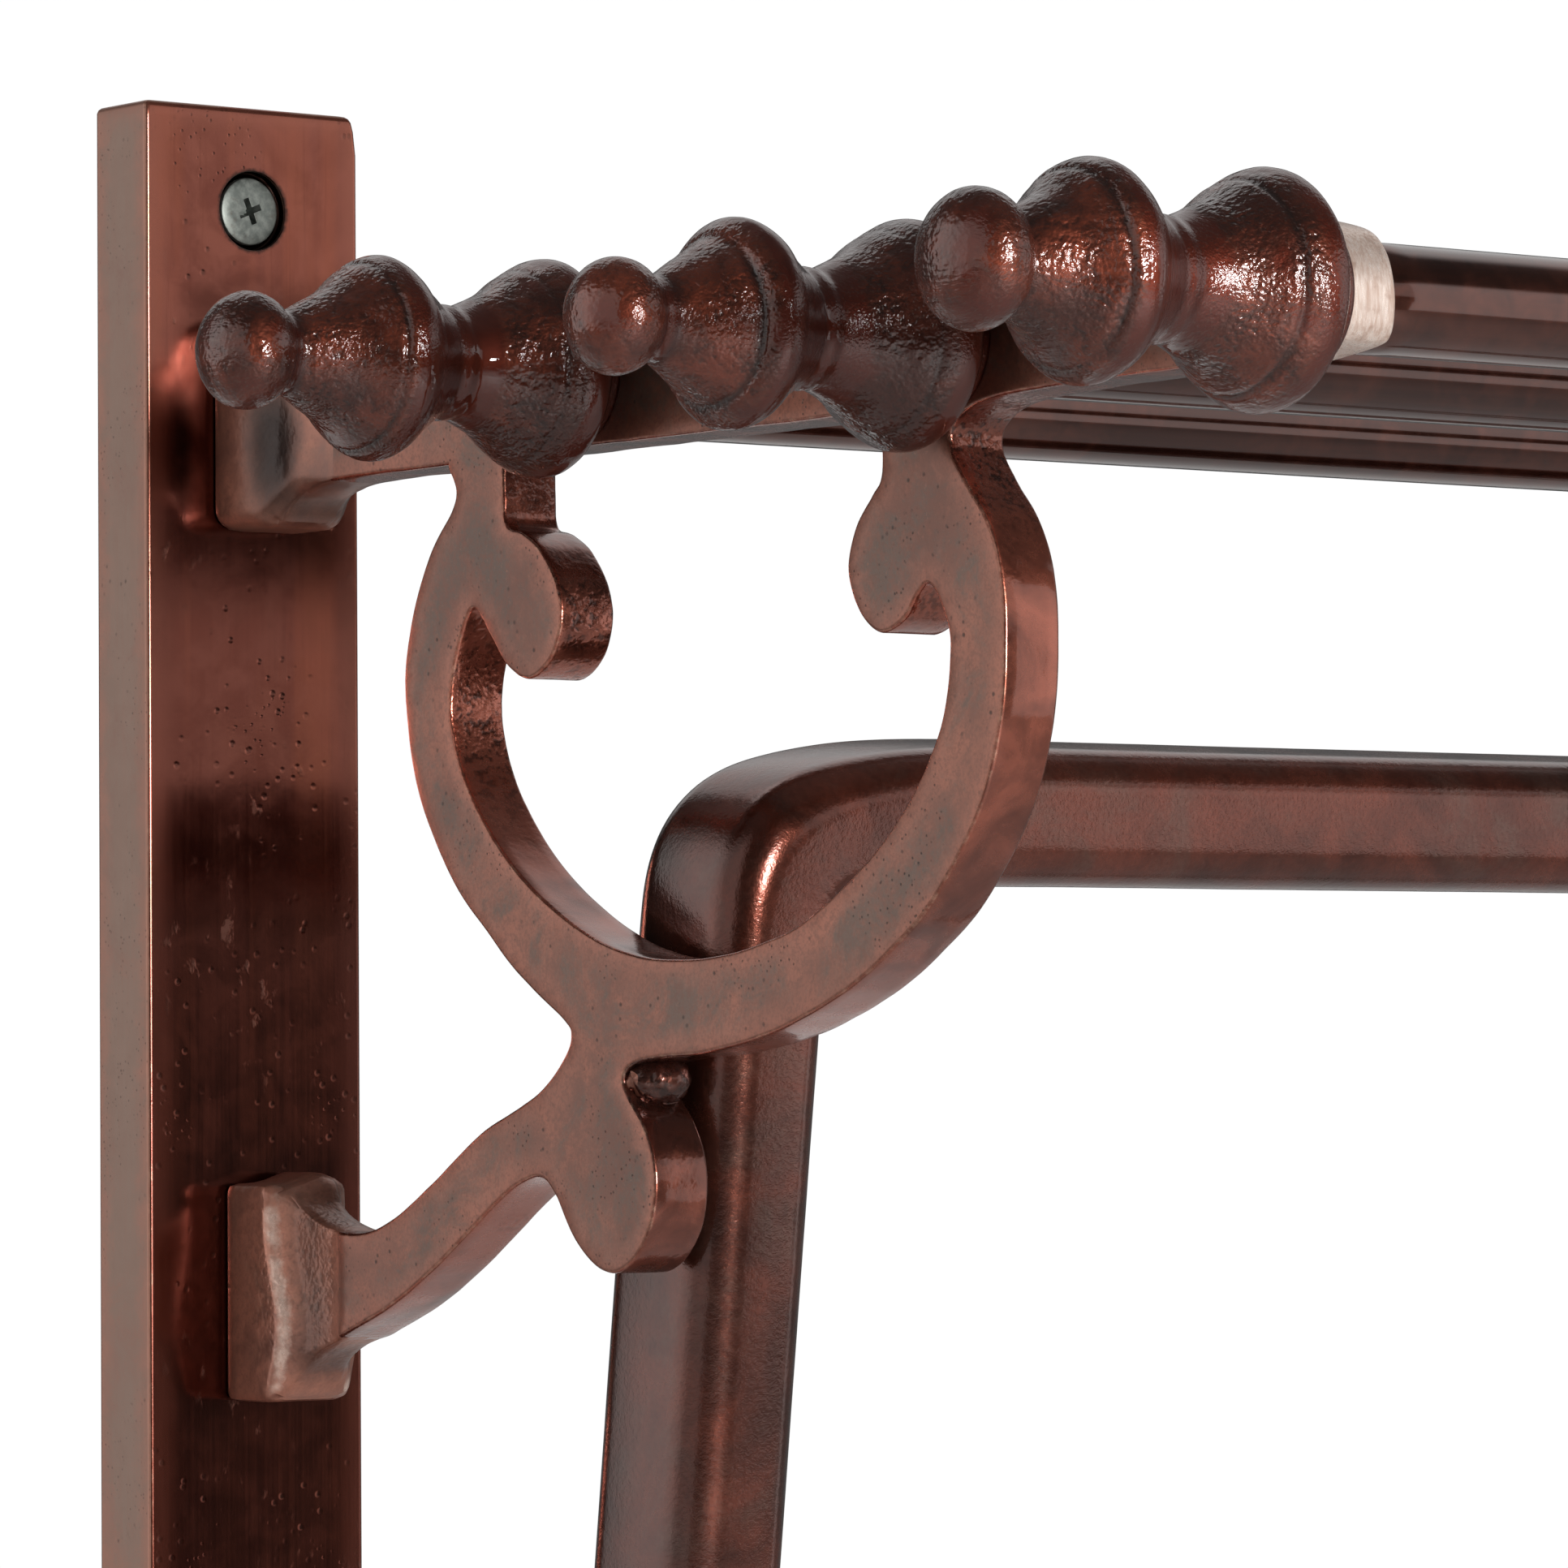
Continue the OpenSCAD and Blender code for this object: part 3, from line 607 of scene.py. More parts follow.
def block(name, layers, mats, m_edge=8, m_corner=5, axis="u"):
    """A body lofted through rounded rectangles: layers of (u, half width about xc, xc, z low, z high, corner radius)."""
    rings = []
    for u, hw, xc, zb, zt, rc in layers:
        cx, cz, hh = xc, (zb + zt) / 2, (zt - zb) / 2
        rc = min(rc, hw * 0.98, hh * 0.98)
        ring = []
        for q, (sx, sz) in enumerate(((1, 1), (-1, 1), (-1, -1), (1, -1))):
            a0 = q * math.pi / 2
            for k in range(m_corner):
                a = a0 + k / (m_corner - 1) * math.pi / 2
                ring.append((cx + sx * (hw - rc) + rc * math.cos(a), -u, cz + sz * (hh - rc) + rc * math.sin(a)))
            nx = ((-1, 1), (-1, -1), (1, -1), (1, 1))[q]
            a1 = a0 + math.pi / 2
            p0 = np.array(ring[-1])
            p1 = np.array((cx + nx[0] * (hw - rc) + rc * math.cos(a1), -u, cz + nx[1] * (hh - rc) + rc * math.sin(a1)))
            for k in range(1, m_edge):
                ring.append(tuple(p0 + (p1 - p0) * k / m_edge))
        rings.append(ring)
    V, F = tube_mesh(rings)
    return mesh_object(name, V, F, mats)


def mirror_x(ob, name, mats=None):
    me = ob.data.copy()
    me.transform(Matrix.Diagonal((-1, 1, 1, 1)))
    me.flip_normals()
    o = bpy.data.objects.new(name, me)
    me.name = name
    scene.collection.objects.link(o)
    return o


# ---- scroll brackets -----------------------------------------------------------------
FU = RAIL_U["front"]
foot_top, foot_bot = FOOT_Z + FOOT_H / 2, FOOT_Z - FOOT_H / 2
upper_arm_top = [[FOOT_U, 13.5], [23, 11.4], [25.8, 9.6], [30, 8.6], [37, 8.3], [90, 7.6], [150, 7.2], [FU - 18, 7.4], [FU - 2, 8]]
front_end = [[FU - 2, 8], [FU + 2.8, 6.6], [FU + 5.3, 4.2], [FU + 6.4, 1], [FU + 6.5, -2], [FU + 5.8, -4.8], [FU + 3.6, -5.8], [FU - 4, -6.8]]
right_side = [[FU - 4, -6.8], [184, -6.7], [166, -7.1], [157, -7.8], [152.8, -9.8],
              [152.2, -12.5], [154.8, -16.5], [158.5, -21], [160.8, -27], [161.3, -34], [160.4, -43],
              [156.5, -53], [148.5, -62.6], [141, -68], [132, -72.8], [119.5, -77], [107, -79.2], [97.5, -79.8],
              [93, -80.6], [91.2, -82.2], [92.4, -84.4], [95, -87.4], [97, -91.5], [97.3, -95.5],
              [96.2, -99.6], [93.4, -103], [89.5, -104.8], [85.5, -104], [81.5, -101], [78, -96.2]]
lower_edge = [[78, -96.2], [75.6, -94], [72.4, -94], [67, -96.3], [57, -102.6], [46, -108.8],
              [34.5, -113.2], [28.5, -115.2], [24.2, -117.8], [FOOT_U, foot_bot]]
left_side = [[FOOT_U, foot_top], [24.2, -98], [30, -100.3], [37.5, -100.9], [44, -99.2], [51.5, -95.3],
             [62.5, -88.7], [71, -85.3], [75.4, -83.2], [79.4, -79.8], [80.9, -77.2], [79.4, -75.2],
             [71, -70], [64.2, -64.6], [56.7, -57.6], [50, -46.8], [47.6, -35], [49.2, -26.2],
             [53, -18.6], [57.4, -13.8], [58.4, -11.4], [56.8, -8.6]]
rear_arm_low = [[56.8, -8.2], [45, -8.2], [37, -8.3], [30, -8.6], [25.8, -9.6], [23, -11.4], [FOOT_U, -13.5]]
inner = [[68.3, -7.8], [68.3, -12], [68.8, -16], [72, -17.2], [75.6, -19.4], [78.8, -23.6],
         [79.6, -28], [77.6, -32.4], [73.2, -34.6], [68.8, -33], [65.4, -29.2], [62.2, -25.8],
         [60.2, -27.4], [57.8, -33], [57.3, -39], [60.2, -46.5], [66, -53.6], [73, -59.2], [80.5, -63.4], [88, -66.4],
         [96.5, -68.1], [107, -68.2], [117, -66.8], [127, -63.6], [140.5, -55], [149.3, -44.5], [151.6, -35],
         [150.4, -30.2], [148.1, -27.4], [146, -28.6], [143.6, -31.2], [139.5, -32.4], [135.8, -30],
         [133.7, -25.2], [135.2, -20.2], [138.2, -16.8], [139.9, -14.4], [139.9, -7.6]]

B_MATS = [M["face"], M["edge"], M["bare"], M["foot"]]
SHY = 0.25                                            # the plate keeps this far inside the feet
u_in = 15.0
outer_uz = ([[u_in, 13.5 - SHY], [FOOT_U - 1, 13.5 - SHY]] + [list(p) for p in run(upper_arm_top, 6)][3:] + [list(p) for p in run(front_end, 8)]
            + [list(p) for p in run(right_side, 8)] + [list(p) for p in run(lower_edge, 6)][:-3]
            + [[FOOT_U - 1, foot_bot + SHY], [u_in, foot_bot + SHY], [u_in, foot_top - SHY], [FOOT_U - 1, foot_top - SHY]]
            + [list(p) for p in run(left_side, 8)][4:] + [list(p) for p in run(rear_arm_low, 6)][:-3] + [[FOOT_U - 1, -13.5 + SHY], [u_in, -13.5 + SHY]])
hole_uz = [list(p) for p in run(inner, 8)] + [[139.9, -7.6]]


def to_yz(P):
    P = np.asarray(P, float)
    return np.stack([-P[:, 0], P[:, 1] + ZR], 1)


def foot(name, top, bot, half, seed, corner):
    """Pad on the stile, flared into the arm. top and bot give the arm's edges beyond the pad; half gives the half width at (u, q),
    where q runs from -1 at the pad's bottom to 1 at its top."""
    T, Bt = np.array(top, float), np.array(bot, float)
    zt, zb = T[0, 1], Bt[0, 1]
    rows = [(11.5, 0.6, 0.6), (11.75, 0.2, 0.2), (12.3, 0.0, 0.0)] + [(u, 0.0, 0.0) for u in (13.5, 15, 16.5, 18, 19.0)]
    rows += [(19.6, 0.06, 0.0), (20.1, 0.18, 0.0), (20.6, 0.42, 0.0), (21.0, 0.8, 0.0)]
    rings = []
    for u in [r[0] for r in rows] + list(np.arange(21.4, 26.1, 0.35)) + [26.7, 27.5, 28.4, 29.4, 30.5, 31.7, 33.0, 34.3, 35.6, 37.0]:
        r = [x for x in rows if x[0] == u]
        if r:
            lo, hi, hw0 = zb + r[0][1], zt - r[0][1], 6.1 - r[0][2] * 0.9
            rc = corner + 0.25 * float(smooth01(u, 19, 21))
        else:
            sink = 0.12 - 0.5 * float(smooth01(u, 30, 36))
            lo = float(np.interp(u, Bt[:, 0], Bt[:, 1])) - sink
            hi = float(np.interp(u, T[:, 0], T[:, 1])) + sink
            hw0, rc = 6.1, corner + 0.5 - corner * float(smooth01(u, 24, 33))
        cz, hh = (lo + hi) / 2, (hi - lo) / 2
        ring, pts = [], []
        n_side, n_cap = 30, 8
        for k in range(n_side):
            pts.append((1.0, -1 + 2 * k / n_side))
        for k in range(n_cap):
            pts.append((1 - 2 * k / n_cap, 1.0))
        for k in range(n_side):
            pts.append((-1.0, 1 - 2 * k / n_side))
        for k in range(n_cap):
            pts.append((-1 + 2 * k / n_cap, -1.0))
        for px, pz in pts:
            x, z = px * hw0, pz * hh
            # round the corners of the rectangle
            ox, oz = abs(x) - (hw0 - rc), abs(z) - (hh - rc)
            if ox > 0 and oz > 0:
                f = rc / max(math.hypot(ox, oz), 1e-6)
                x = math.copysign(hw0 - rc + ox * f, x)
                z = math.copysign(hh - rc + oz * f, z)
            q = (z + cz - (zt + zb) / 2) / 13.5
            ring.append((XM + x * half(u, q) / 6.1, -u, ZR + cz + z))
        rings.append(ring)
    V, F = tube_mesh(rings)
    V = np.array(V)
    V[:, 0] += np.sign(V[:, 0] - XM) * 0.10 * fbm(V / 2.4 + seed, 2) * smooth01(-V[:, 1], 13, 15) * smooth01(-V[:, 1], 31, 28)
    return mesh_object(name, V, F, B_MATS)


def keen(u, q):
    """Flat pad side out to a bowed ridge, then a steep fall into the hollow beside the arm."""
    ur = 20.6 + 2.7 * math.exp(-((q + 0.30) / 0.55) ** 2)
    beyond = 3.84 + 1.10 * math.exp(-max(u - ur, 0.0) / 3.4)
    f = float(smooth01(u, ur - 0.7, ur + 0.8))
    return 6.1 * (1 - f) + beyond * f


def soft(u, q):
    """Rounded shoulder that slopes gently into the arm."""
    return float(np.interp(u, [11, 13, 15, 17, 19, 21, 23, 25, 27, 29, 31, 33, 36, 38], [7.5, 7.45, 7.25, 6.95, 6.6, 6.2, 5.76, 5.3, 4.84, 4.46, 4.18, 3.98, 3.86, 3.84]))


def arm_edge(P, n=8):
    Q = np.array(run(P, n) + [np.array(P[-1], float)])
    return Q[np.argsort(Q[:, 0])]


plate, plate_loops = casting("left_scroll_bracket", [to_yz(outer_uz), to_yz(hole_uz)], XP, XQ, 0.5, B_MATS, wave=0.10)
up = foot("foot_a", [[21.0, 13.5]] + arm_edge([[21, 13.0], [22, 12.1], [23.4, 10.9], [25.8, 9.6], [30, 8.6], [37, 8.3], [45, 8.2]]).tolist(),
          [[21.0, -13.5]] + arm_edge([[21, -13.0], [22, -12.1], [23.4, -10.9], [25.8, -9.6], [30, -8.6], [37, -8.3], [45, -8.2]]).tolist(), soft, 3.0, 2.4)
lo = foot("foot_b", [[21.0, foot_top]] + arm_edge([[21, foot_top - 0.5], [22, -96.2], [24.2, -98], [30, -100.3], [37.5, -100.9], [44, -99.2]]).tolist(),
          [[21.0, foot_bot]] + arm_edge([[21, foot_bot + 0.5], [22, -120.6], [24.2, -117.8], [28.5, -115.2], [34.5, -113.2], [46, -108.8]]).tolist(), keen, 8.0, 1.0)


def blob(name, x, u, z, rx, ru, rz, rough, seed, m=36):
    """A lumpy pebble of metal."""
    rings = []
    for k in range(19):
        th = math.pi * (k + 0.02) / 18.04
        rings.append([(x + rx * math.cos(th), -u + ru * math.sin(th) * math.cos(a), ZR + z + rz * math.sin(th) * math.sin(a)) for a in np.linspace(0, 2 * math.pi, m, endpoint=False)])
    V, F = tube_mesh(rings)
    V = np.array(V)
    c = V.mean(0)
    V = c + (V - c) * (1 + rough * fbm(V / 1.7 + seed, 2))[:, None]
    return mesh_object(name, V, F, B_MATS)


boolean(plate, up, "UNION")
boolean(plate, lo, "UNION")
# rough metal left in the root of the notch below the ring
for k, (dx, u, z, rx, ru, rz) in enumerate(((0.4, 92.6, -82.3, 4.1, 3.2, 2.9), (1.6, 91.4, -84.2, 2.4, 1.8, 2.2))):
    boolean(plate, blob("web", XM + dx, u, z, rx, ru, rz, 0.17, 2.0 + k, 40), "UNION")


def finish_bracket(ob, sign):
    co = coords(ob)
    u, zz = -co[:, 1], co[:, 2] - ZR
    ax = np.abs(co[:, 0])
    off = ax + XM                                         # + on the outer side
    # hollows left as cast between each pad and the ground flat of the arm
    qa = zz / 13.5
    full = np.maximum(np.array([soft(a, 0) for a in u]), 4.0)
    high = (np.abs(zz) < 16) & (u < 34)
    dip = 0.9 * np.exp(-((u - 21.8) / 3.2) ** 2) * np.exp(-((qa + 0.25) / 0.45) ** 2) * high
    qb = (zz - FOOT_Z) / 13.5
    ur = 20.6 + 2.7 * np.exp(-((qb + 0.30) / 0.55) ** 2)
    low = (np.abs(zz - FOOT_Z) < 16) & (u < 36)
    dip_b = 0.85 * smooth01(u, ur + 0.4, ur + 2.6) * smooth01(u, 33.4, 31.6) * low
    full_b = np.maximum(np.array([keen(a, b) for a, b in zip(u, qb)]), 4.0)
    co[:, 0] -= np.sign(co[:, 0]) * off * (dip / full + dip_b / full_b)
    # the lower pad's inner half stands higher than its ground outer half
    co[:, 2] += 1.4 * np.exp(-((off + 2.0) / 3.2) ** 2) * smooth01(zz - FOOT_Z, 7.5, 13.0) * smooth01(u, 12.0, 13.0) * smooth01(u, 26.0, 22.0) * low
    p = np.stack([co[:, 1], co[:, 2]], 1)
    d2 = loop_distance(p, plate_loops)
    dx = np.minimum(np.abs(ax + XP), np.abs(ax + XQ))
    e = np.hypot(d2, dx)
    e = np.where(u < 33, 3.0 + 0 * e, e)
    # painted highlight, with some rubbing, along the keen ridge and the pad's upper corner
    ridge = np.where(low & (np.abs(off) > 4.4), np.abs(u - ur - 0.1) * 0.85, 9.0)
    corner = np.where(low & (u > 13) & (u < 22), np.hypot(np.abs(zz - foot_top) * 0.8, (6.1 - np.abs(off)) * 0.8), 9.0)
    e = np.minimum(e, np.minimum(ridge, corner))
    point_attr(ob, "edge", e)
    rough = 0.05 + 0.30 * smooth01(fbm(co / 9.0 + 5, 2), 0.05, 0.5)
    for u0, z0, r0, amt in ((155, -13, 9, 1.0), (93, -83, 5.5, 0.8), (63, -12, 7, 0.8), (58, -38, 13, 0.9), (79, -27, 8, 0.9), (26, -108, 11, 0.9), (24, 0, 10, 0.35),
                            (27, -98, 6, 0.9), (92, -90, 6, 0.5), (140, -14, 8, 0.8), (148, -29, 6, 0.7), (70, -34, 7, 0.9)):
        rough = np.maximum(rough, amt * np.exp(-((u - u0) ** 2 + (zz - z0) ** 2) / r0 ** 2))
    # the ring's outer right side was rubbed smooth
    rough = np.where((u > 100) & (zz < -28) & (d2 < 0.6) & (np.hypot(u - 106, zz + 26) > 47), 0.04, rough)
    point_attr(ob, "rough", rough)
    # painted shade, with some as-cast dirt, in both pads' hollows, in the creases at the notch, the neck and the pads'
    # roots, and along each pad's contact with the stile
    oval = np.hypot((u - 22.0 - 0.4 * fbm(co / 3.0, 2)) / 5.0, (qa + 0.27 + 0.05 * fbm(co / 3.0 + 4, 2)) / 0.72)
    soot_and_shade = 0.99 * np.exp(-oval ** 4) * high + 0.50 * np.clip(dip_b / 0.85, 0, 1) * smooth01(u, 33.4, 26)
    for u0, z0, r0, amt in ((93.5, -82.0, 4.0, 0.80), (153, -10, 4, 0.5), (30, -9.5, 5, 0.5), (25, -97.5, 4, 0.5)):
        soot_and_shade = np.maximum(soot_and_shade, amt * np.exp(-((u - u0) ** 2 + (zz - z0) ** 2) / r0 ** 2))
    soot_and_shade = np.maximum(soot_and_shade, 0.55 * smooth01(u, 12.5, 11.7))
    point_attr(ob, "soot_and_shade", np.clip(soot_and_shade, 0, 1))
    put_coords(ob, co)
    nr = normals(ob)
    bump = 0.05 * fbm(co / 6.0 + 3 * sign, 3) + 0.06 * fbm(co / 1.5, 2) * rough
    lim = np.where(u < 13.0, 0.0, 1.0)
    put_coords(ob, co + nr * (bump * lim)[:, None])
    me = ob.data
    n = len(me.polygons)
    fn = np.zeros(n * 3, np.float32)
    fc = np.zeros(n * 3, np.float32)
    me.polygons.foreach_get("normal", fn)
    me.polygons.foreach_get("center", fc)
    fn, fc = fn.reshape(-1, 3), fc.reshape(-1, 3) / MM
    u = -fc[:, 1]
    idx = np.where((np.abs(fn[:, 0]) > 0.86) & (u > 32.6), 0, 1)
    idx = np.where(u <= 32.6, 3, idx)
    idx = np.where((u > 203.0) & (np.abs(fn[:, 0]) < 0.8) & (fc[:, 2] > ZR - 6.9), 2, idx)
    me.polygons.foreach_set("material_index", idx.astype(np.int32))
    shade(ob, 38)


right_plate = mirror_x(plate, "right_scroll_bracket")
finish_bracket(plate, -1)
finish_bracket(right_plate, 1)
place(plate, "frame", "bracket_bronze", "left_bracket")
place(right_plate, "frame", "bracket_bronze", "right_bracket")


# ---- stiles ---------------------------------------------------------------------------
def stile(name, node, sign):
    """Flat bar with worn arrises, its inner top corner rubbed round, and sunk screw seats."""
    zs = np.concatenate([[-320, -319.9, -319.65, -319.2], np.arange(-318, 318.1, 3.0), [319.2, 319.65, 319.9, 320]])
    rings = []
    for z in zs:
        near = min(320 - z, z + 320)
        ins = 0.0 if near >= 0.8 else 0.8 - math.sqrt(max(0.0, 0.64 - (0.8 - near) ** 2))
        xa, xb = X0 + ins, X0 + STILE_W - ins
        t = max(0.0, 1 - (320 - z) / 5.0)
        xb -= 1.0 * t * t
        ya, yb = -STILE_T + ins, -ins
        wob = 0.10 * float(pnoise([[0.3, z / 9.0, sign]])[0])
        rr, nc = 0.55, 5
        ring = []
        for (cx, cy, a0) in ((xb - rr, yb - rr, 0), (xa + rr, yb - rr, 90), (xa + rr, ya + rr + 0.0, 180), (xb - rr, ya + rr, 270)):
            for k in range(nc):
                a = math.radians(a0 + 90 * k / (nc - 1))
                r2 = rr + (wob if a0 in (180, 270) else 0.0)
                ring.append((cx + (rr - r2) * (-1 if a0 == 180 else 1) * 0 + rr * math.cos(a), cy + rr * math.sin(a), z))
            nxt = {0: (xa + rr, yb), 90: (xa, ya + rr), 180: (xb - rr, ya), 270: (xb, yb - rr)}[a0]
            p0, p1 = np.array(ring[-1]), np.array((*nxt, z))
            nseg = 14 if a0 in (0, 180) else 5
            tip = 0.10 / np.linalg.norm(p1 - p0)
            for f in [tip] + [k / nseg for k in range(1, nseg)] + [1 - tip]:
                ring.append(tuple(p0 + (p1 - p0) * f))
        rings.append(ring)
    V, F = tube_mesh(rings)
    ob = mesh_object(name, V, F, [M["stile"]], recalc=True)
    for z in (ZS, -ZS):
        prof = [(0.0, 2.0), (5.05, 2.0), (5.05, 0.0), (4.95, -0.12), (4.9, -0.4), (4.88, -1.35), (4.6, -1.5), (2.55, -4.7), (2.5, -12.5), (0.0, -12.5)]
        rr = []
        for r, d in prof[1:-1]:
            rr.append([(X0 + STILE_W / 2 + r * math.cos(a), -STILE_T - d, z + r * math.sin(a)) for a in np.linspace(0, 2 * math.pi, 56, endpoint=False)])
        boolean(ob, mesh_object("cut", *tube_mesh(rr), [M["stile"]]), "DIFFERENCE")
    if sign > 0:
        ob.data.transform(Matrix.Diagonal((-1, 1, 1, 1)))
        ob.data.flip_normals()
    co = coords(ob)
    ax = np.abs(co[:, 0])
    ex = np.minimum(np.abs(ax - 250), np.abs(ax - 218))
    ey = np.minimum(np.abs(co[:, 1]), np.abs(co[:, 1] + STILE_T))
    ez = np.minimum(np.abs(co[:, 2] - 320), np.abs(co[:, 2] + 320))
    s = np.sort(np.stack([ex, ey, ez], 1), axis=1)
    e = np.hypot(s[:, 0], s[:, 1])
    point_attr(ob, "edge", e)
    me = ob.data
    me.materials.append(M["stile_side"])
    fn = np.zeros(len(me.polygons) * 3, np.float32)
    me.polygons.foreach_get("normal", fn)
    fn = fn.reshape(-1, 3)
    fc = np.zeros(len(me.polygons) * 3, np.float32)
    me.polygons.foreach_get("center", fc)
    fx = np.abs(fc.reshape(-1, 3)[:, 0]) / MM
    seat = np.abs(fx - (250 - STILE_W / 2)) < 5.4
    me.polygons.foreach_set("material_index", np.where((np.abs(fn[:, 1]) > 0.72) | seat, 0, 1).astype(np.int32))
    shade(ob, 38)
    return place(ob, "frame", "stile_bronze", node)


stile("left_wall_stile", "left_stile", -1)
stile("right_wall_stile", "right_stile", 1)


# ---- finials ---------------------------------------------------------------------------
LOWER = [[8.8, 0.0], [8.8, 2.2], [9.3, 2.7], [10.6, 3.0], [11.9, 3.5], [12.7, 4.3], [12.9, 5.3], [12.75, 6.4], [12.2, 7.6], [10.9, 10.0], [9.2, 12.4],
         [7.95, 14.8], [7.0, 17.2]]
WAIST = [[6.62, 18.6], [6.72, 19.3], [6.80, 19.9], [6.72, 20.5], [6.72, 21.0], [7.1, 21.9]]


def profile(b1, cone, an, bc, br, ba):
    up = [[8.4 * b1, 23.8], [9.6 * b1, 25.5], [10.9 * b1, 27.0], [11.65 * b1, 28.4], [11.8 * b1, 29.6]]
    body = np.array(LOWER + WAIST + up + cone + [[4.8, an]], float)
    k = len(body)
    P = np.array([cr(body[max(i - 1, 0)], body[i], body[i + 1], body[min(i + 2, k - 1)], j / 6) for i in range(1, k - 1) for j in range(6)])
    P = np.vstack([body[:1], P])
    a = np.radians(np.linspace(132, 0, 40))
    ball = np.stack([br * np.sin(a), bc + ba * np.cos(a)], 1)
    neck = np.array([[4.8, an], [4.72, an + (ball[0, 1] - an) * 0.5]])
    P = np.vstack([P, neck, ball])
    P[:, 0] = np.maximum(P[:, 0], 0)
    return resample(P, 0.36)


def finial(name, node, sign, u, dz, tilt, b1, cone, an, bc, br, ba, grooves, seed):
    P = profile(b1, cone, an, bc, br, ba)
    r, s = P[:, 0].copy(), P[:, 1]
    n = 200
    dr, ds = np.gradient(r), np.gradient(s)
    ln = np.hypot(dr, ds) + 1e-9
    nr_r, nr_s = ds / ln, -dr / ln
    ph = np.linspace(0, 2 * np.pi, n, endpoint=False)
    Rr, S = np.meshgrid(r[:-1], s[:-1], indexing="ij")[0], None
    Rr = np.repeat(r[:-1, None], n, 1)
    Ss = np.repeat(s[:-1, None], n, 1)
    Cc, Sn = np.cos(ph)[None], np.sin(ph)[None]
    pos = np.stack([sign * (-XP + Ss), -u - Rr * Cc, ZR + dz + math.tan(tilt) * Ss + Rr * Sn], -1)
    nor = np.stack([sign * np.repeat(nr_s[:-1, None], n, 1), -np.repeat(nr_r[:-1, None], n, 1) * Cc, np.repeat(nr_r[:-1, None], n, 1) * Sn], -1)
    q = pos.reshape(-1, 3) + 13.7 * seed
    rough = (smooth01(Ss, 6, 8) * smooth01(Ss, 17, 14) + smooth01(Ss, 30, 31.5) * smooth01(Ss, an + 1, an - 1) + 0.6 * smooth01(Ss, bc - 4, bc - 2)).ravel()
    rough = np.clip(0.03 + rough * np.clip(0.62 + 0.9 * fbm(q / 6.5 + 3.0, 2), 0.1, 1.0) + 0.35 * np.clip(fbm(q / 9.0 + 8.0, 2), 0, 1), 0, 1)
    d = 0.09 * fbm(q / 5.5, 2) + (0.012 + 0.040 * rough) * fbm(q / 2.0, 2) + rough * 0.05 * fbm(q / 0.95, 2)
    d += 0.018 * pnoise(np.stack([Ss.ravel() * 1.6, 0.15 * np.repeat(np.cos(ph)[None], len(r) - 1, 0).ravel(), np.full(q.shape[0], seed * 3.1)], 1))
    # painted shade, with some dirt, along each groove and in the crease at the neck
    soot_and_shade = np.zeros(Ss.shape)
    for g, (s0, depth, w) in enumerate(grooves):
        # each groove wanders a little and fades in places
        ring = np.stack([1.1 * np.cos(ph), 1.1 * np.sin(ph), np.full(n, seed * 2.3 + 5.1 * g)], 1)
        at = s0 + 0.35 * pnoise(ring)
        deep = depth * np.clip(0.75 + 1.1 * pnoise(ring * 1.3 + 9.0), 0.15, 1.3)
        d -= (deep[None] * np.exp(-((Ss - at[None]) / w) ** 2)).ravel()
        soot_and_shade = np.maximum(soot_and_shade, np.clip(deep[None] / 0.45, 0, 1) * np.exp(-((Ss - at[None]) / (0.9 * w)) ** 2))
    soot_and_shade = np.maximum(soot_and_shade, 0.55 * np.exp(-((Ss - an - 0.2) / 0.7) ** 2))
    d *= smooth01(Ss, 0.0, 2.0).ravel()
    pos = pos.reshape(-1, 3) + nor.reshape(-1, 3) * d[:, None]
    pos[:, 1] = np.where(pos[:, 1] < -222.0, -222.0 + 0.85 * (pos[:, 1] + 222.0), pos[:, 1])      # no further out than the turning itself
    V = np.vstack([pos, [[sign * (-XP), -u, ZR + dz]], [[sign * (-XP + s[-1]), -u, ZR + dz + math.tan(tilt) * s[-1]]]])
    k = len(r) - 1
    F = rings_to_faces(k, n)
    a, b = len(V) - 2, len(V) - 1
    F += [(a, (j + 1) % n, j) for j in range(n)]
    F += [(b, (k - 1) * n + j, (k - 1) * n + (j + 1) % n) for j in range(n)]
    ob = mesh_object(name, V, F, [M["finial"]], sharp=None)
    point_attr(ob, "rough", np.concatenate([rough, [0.3, 0.3]]))
    point_attr(ob, "soot_and_shade", np.concatenate([soot_and_shade.ravel(), [0, 0]]))
    return place(ob, "frame", "finial_bronze", node)


def cone_of(b1, an, pts):
    return [[4.8 + (q - 4.8) * b1, 29.6 + (an - 29.6) * f] for q, f in pts]


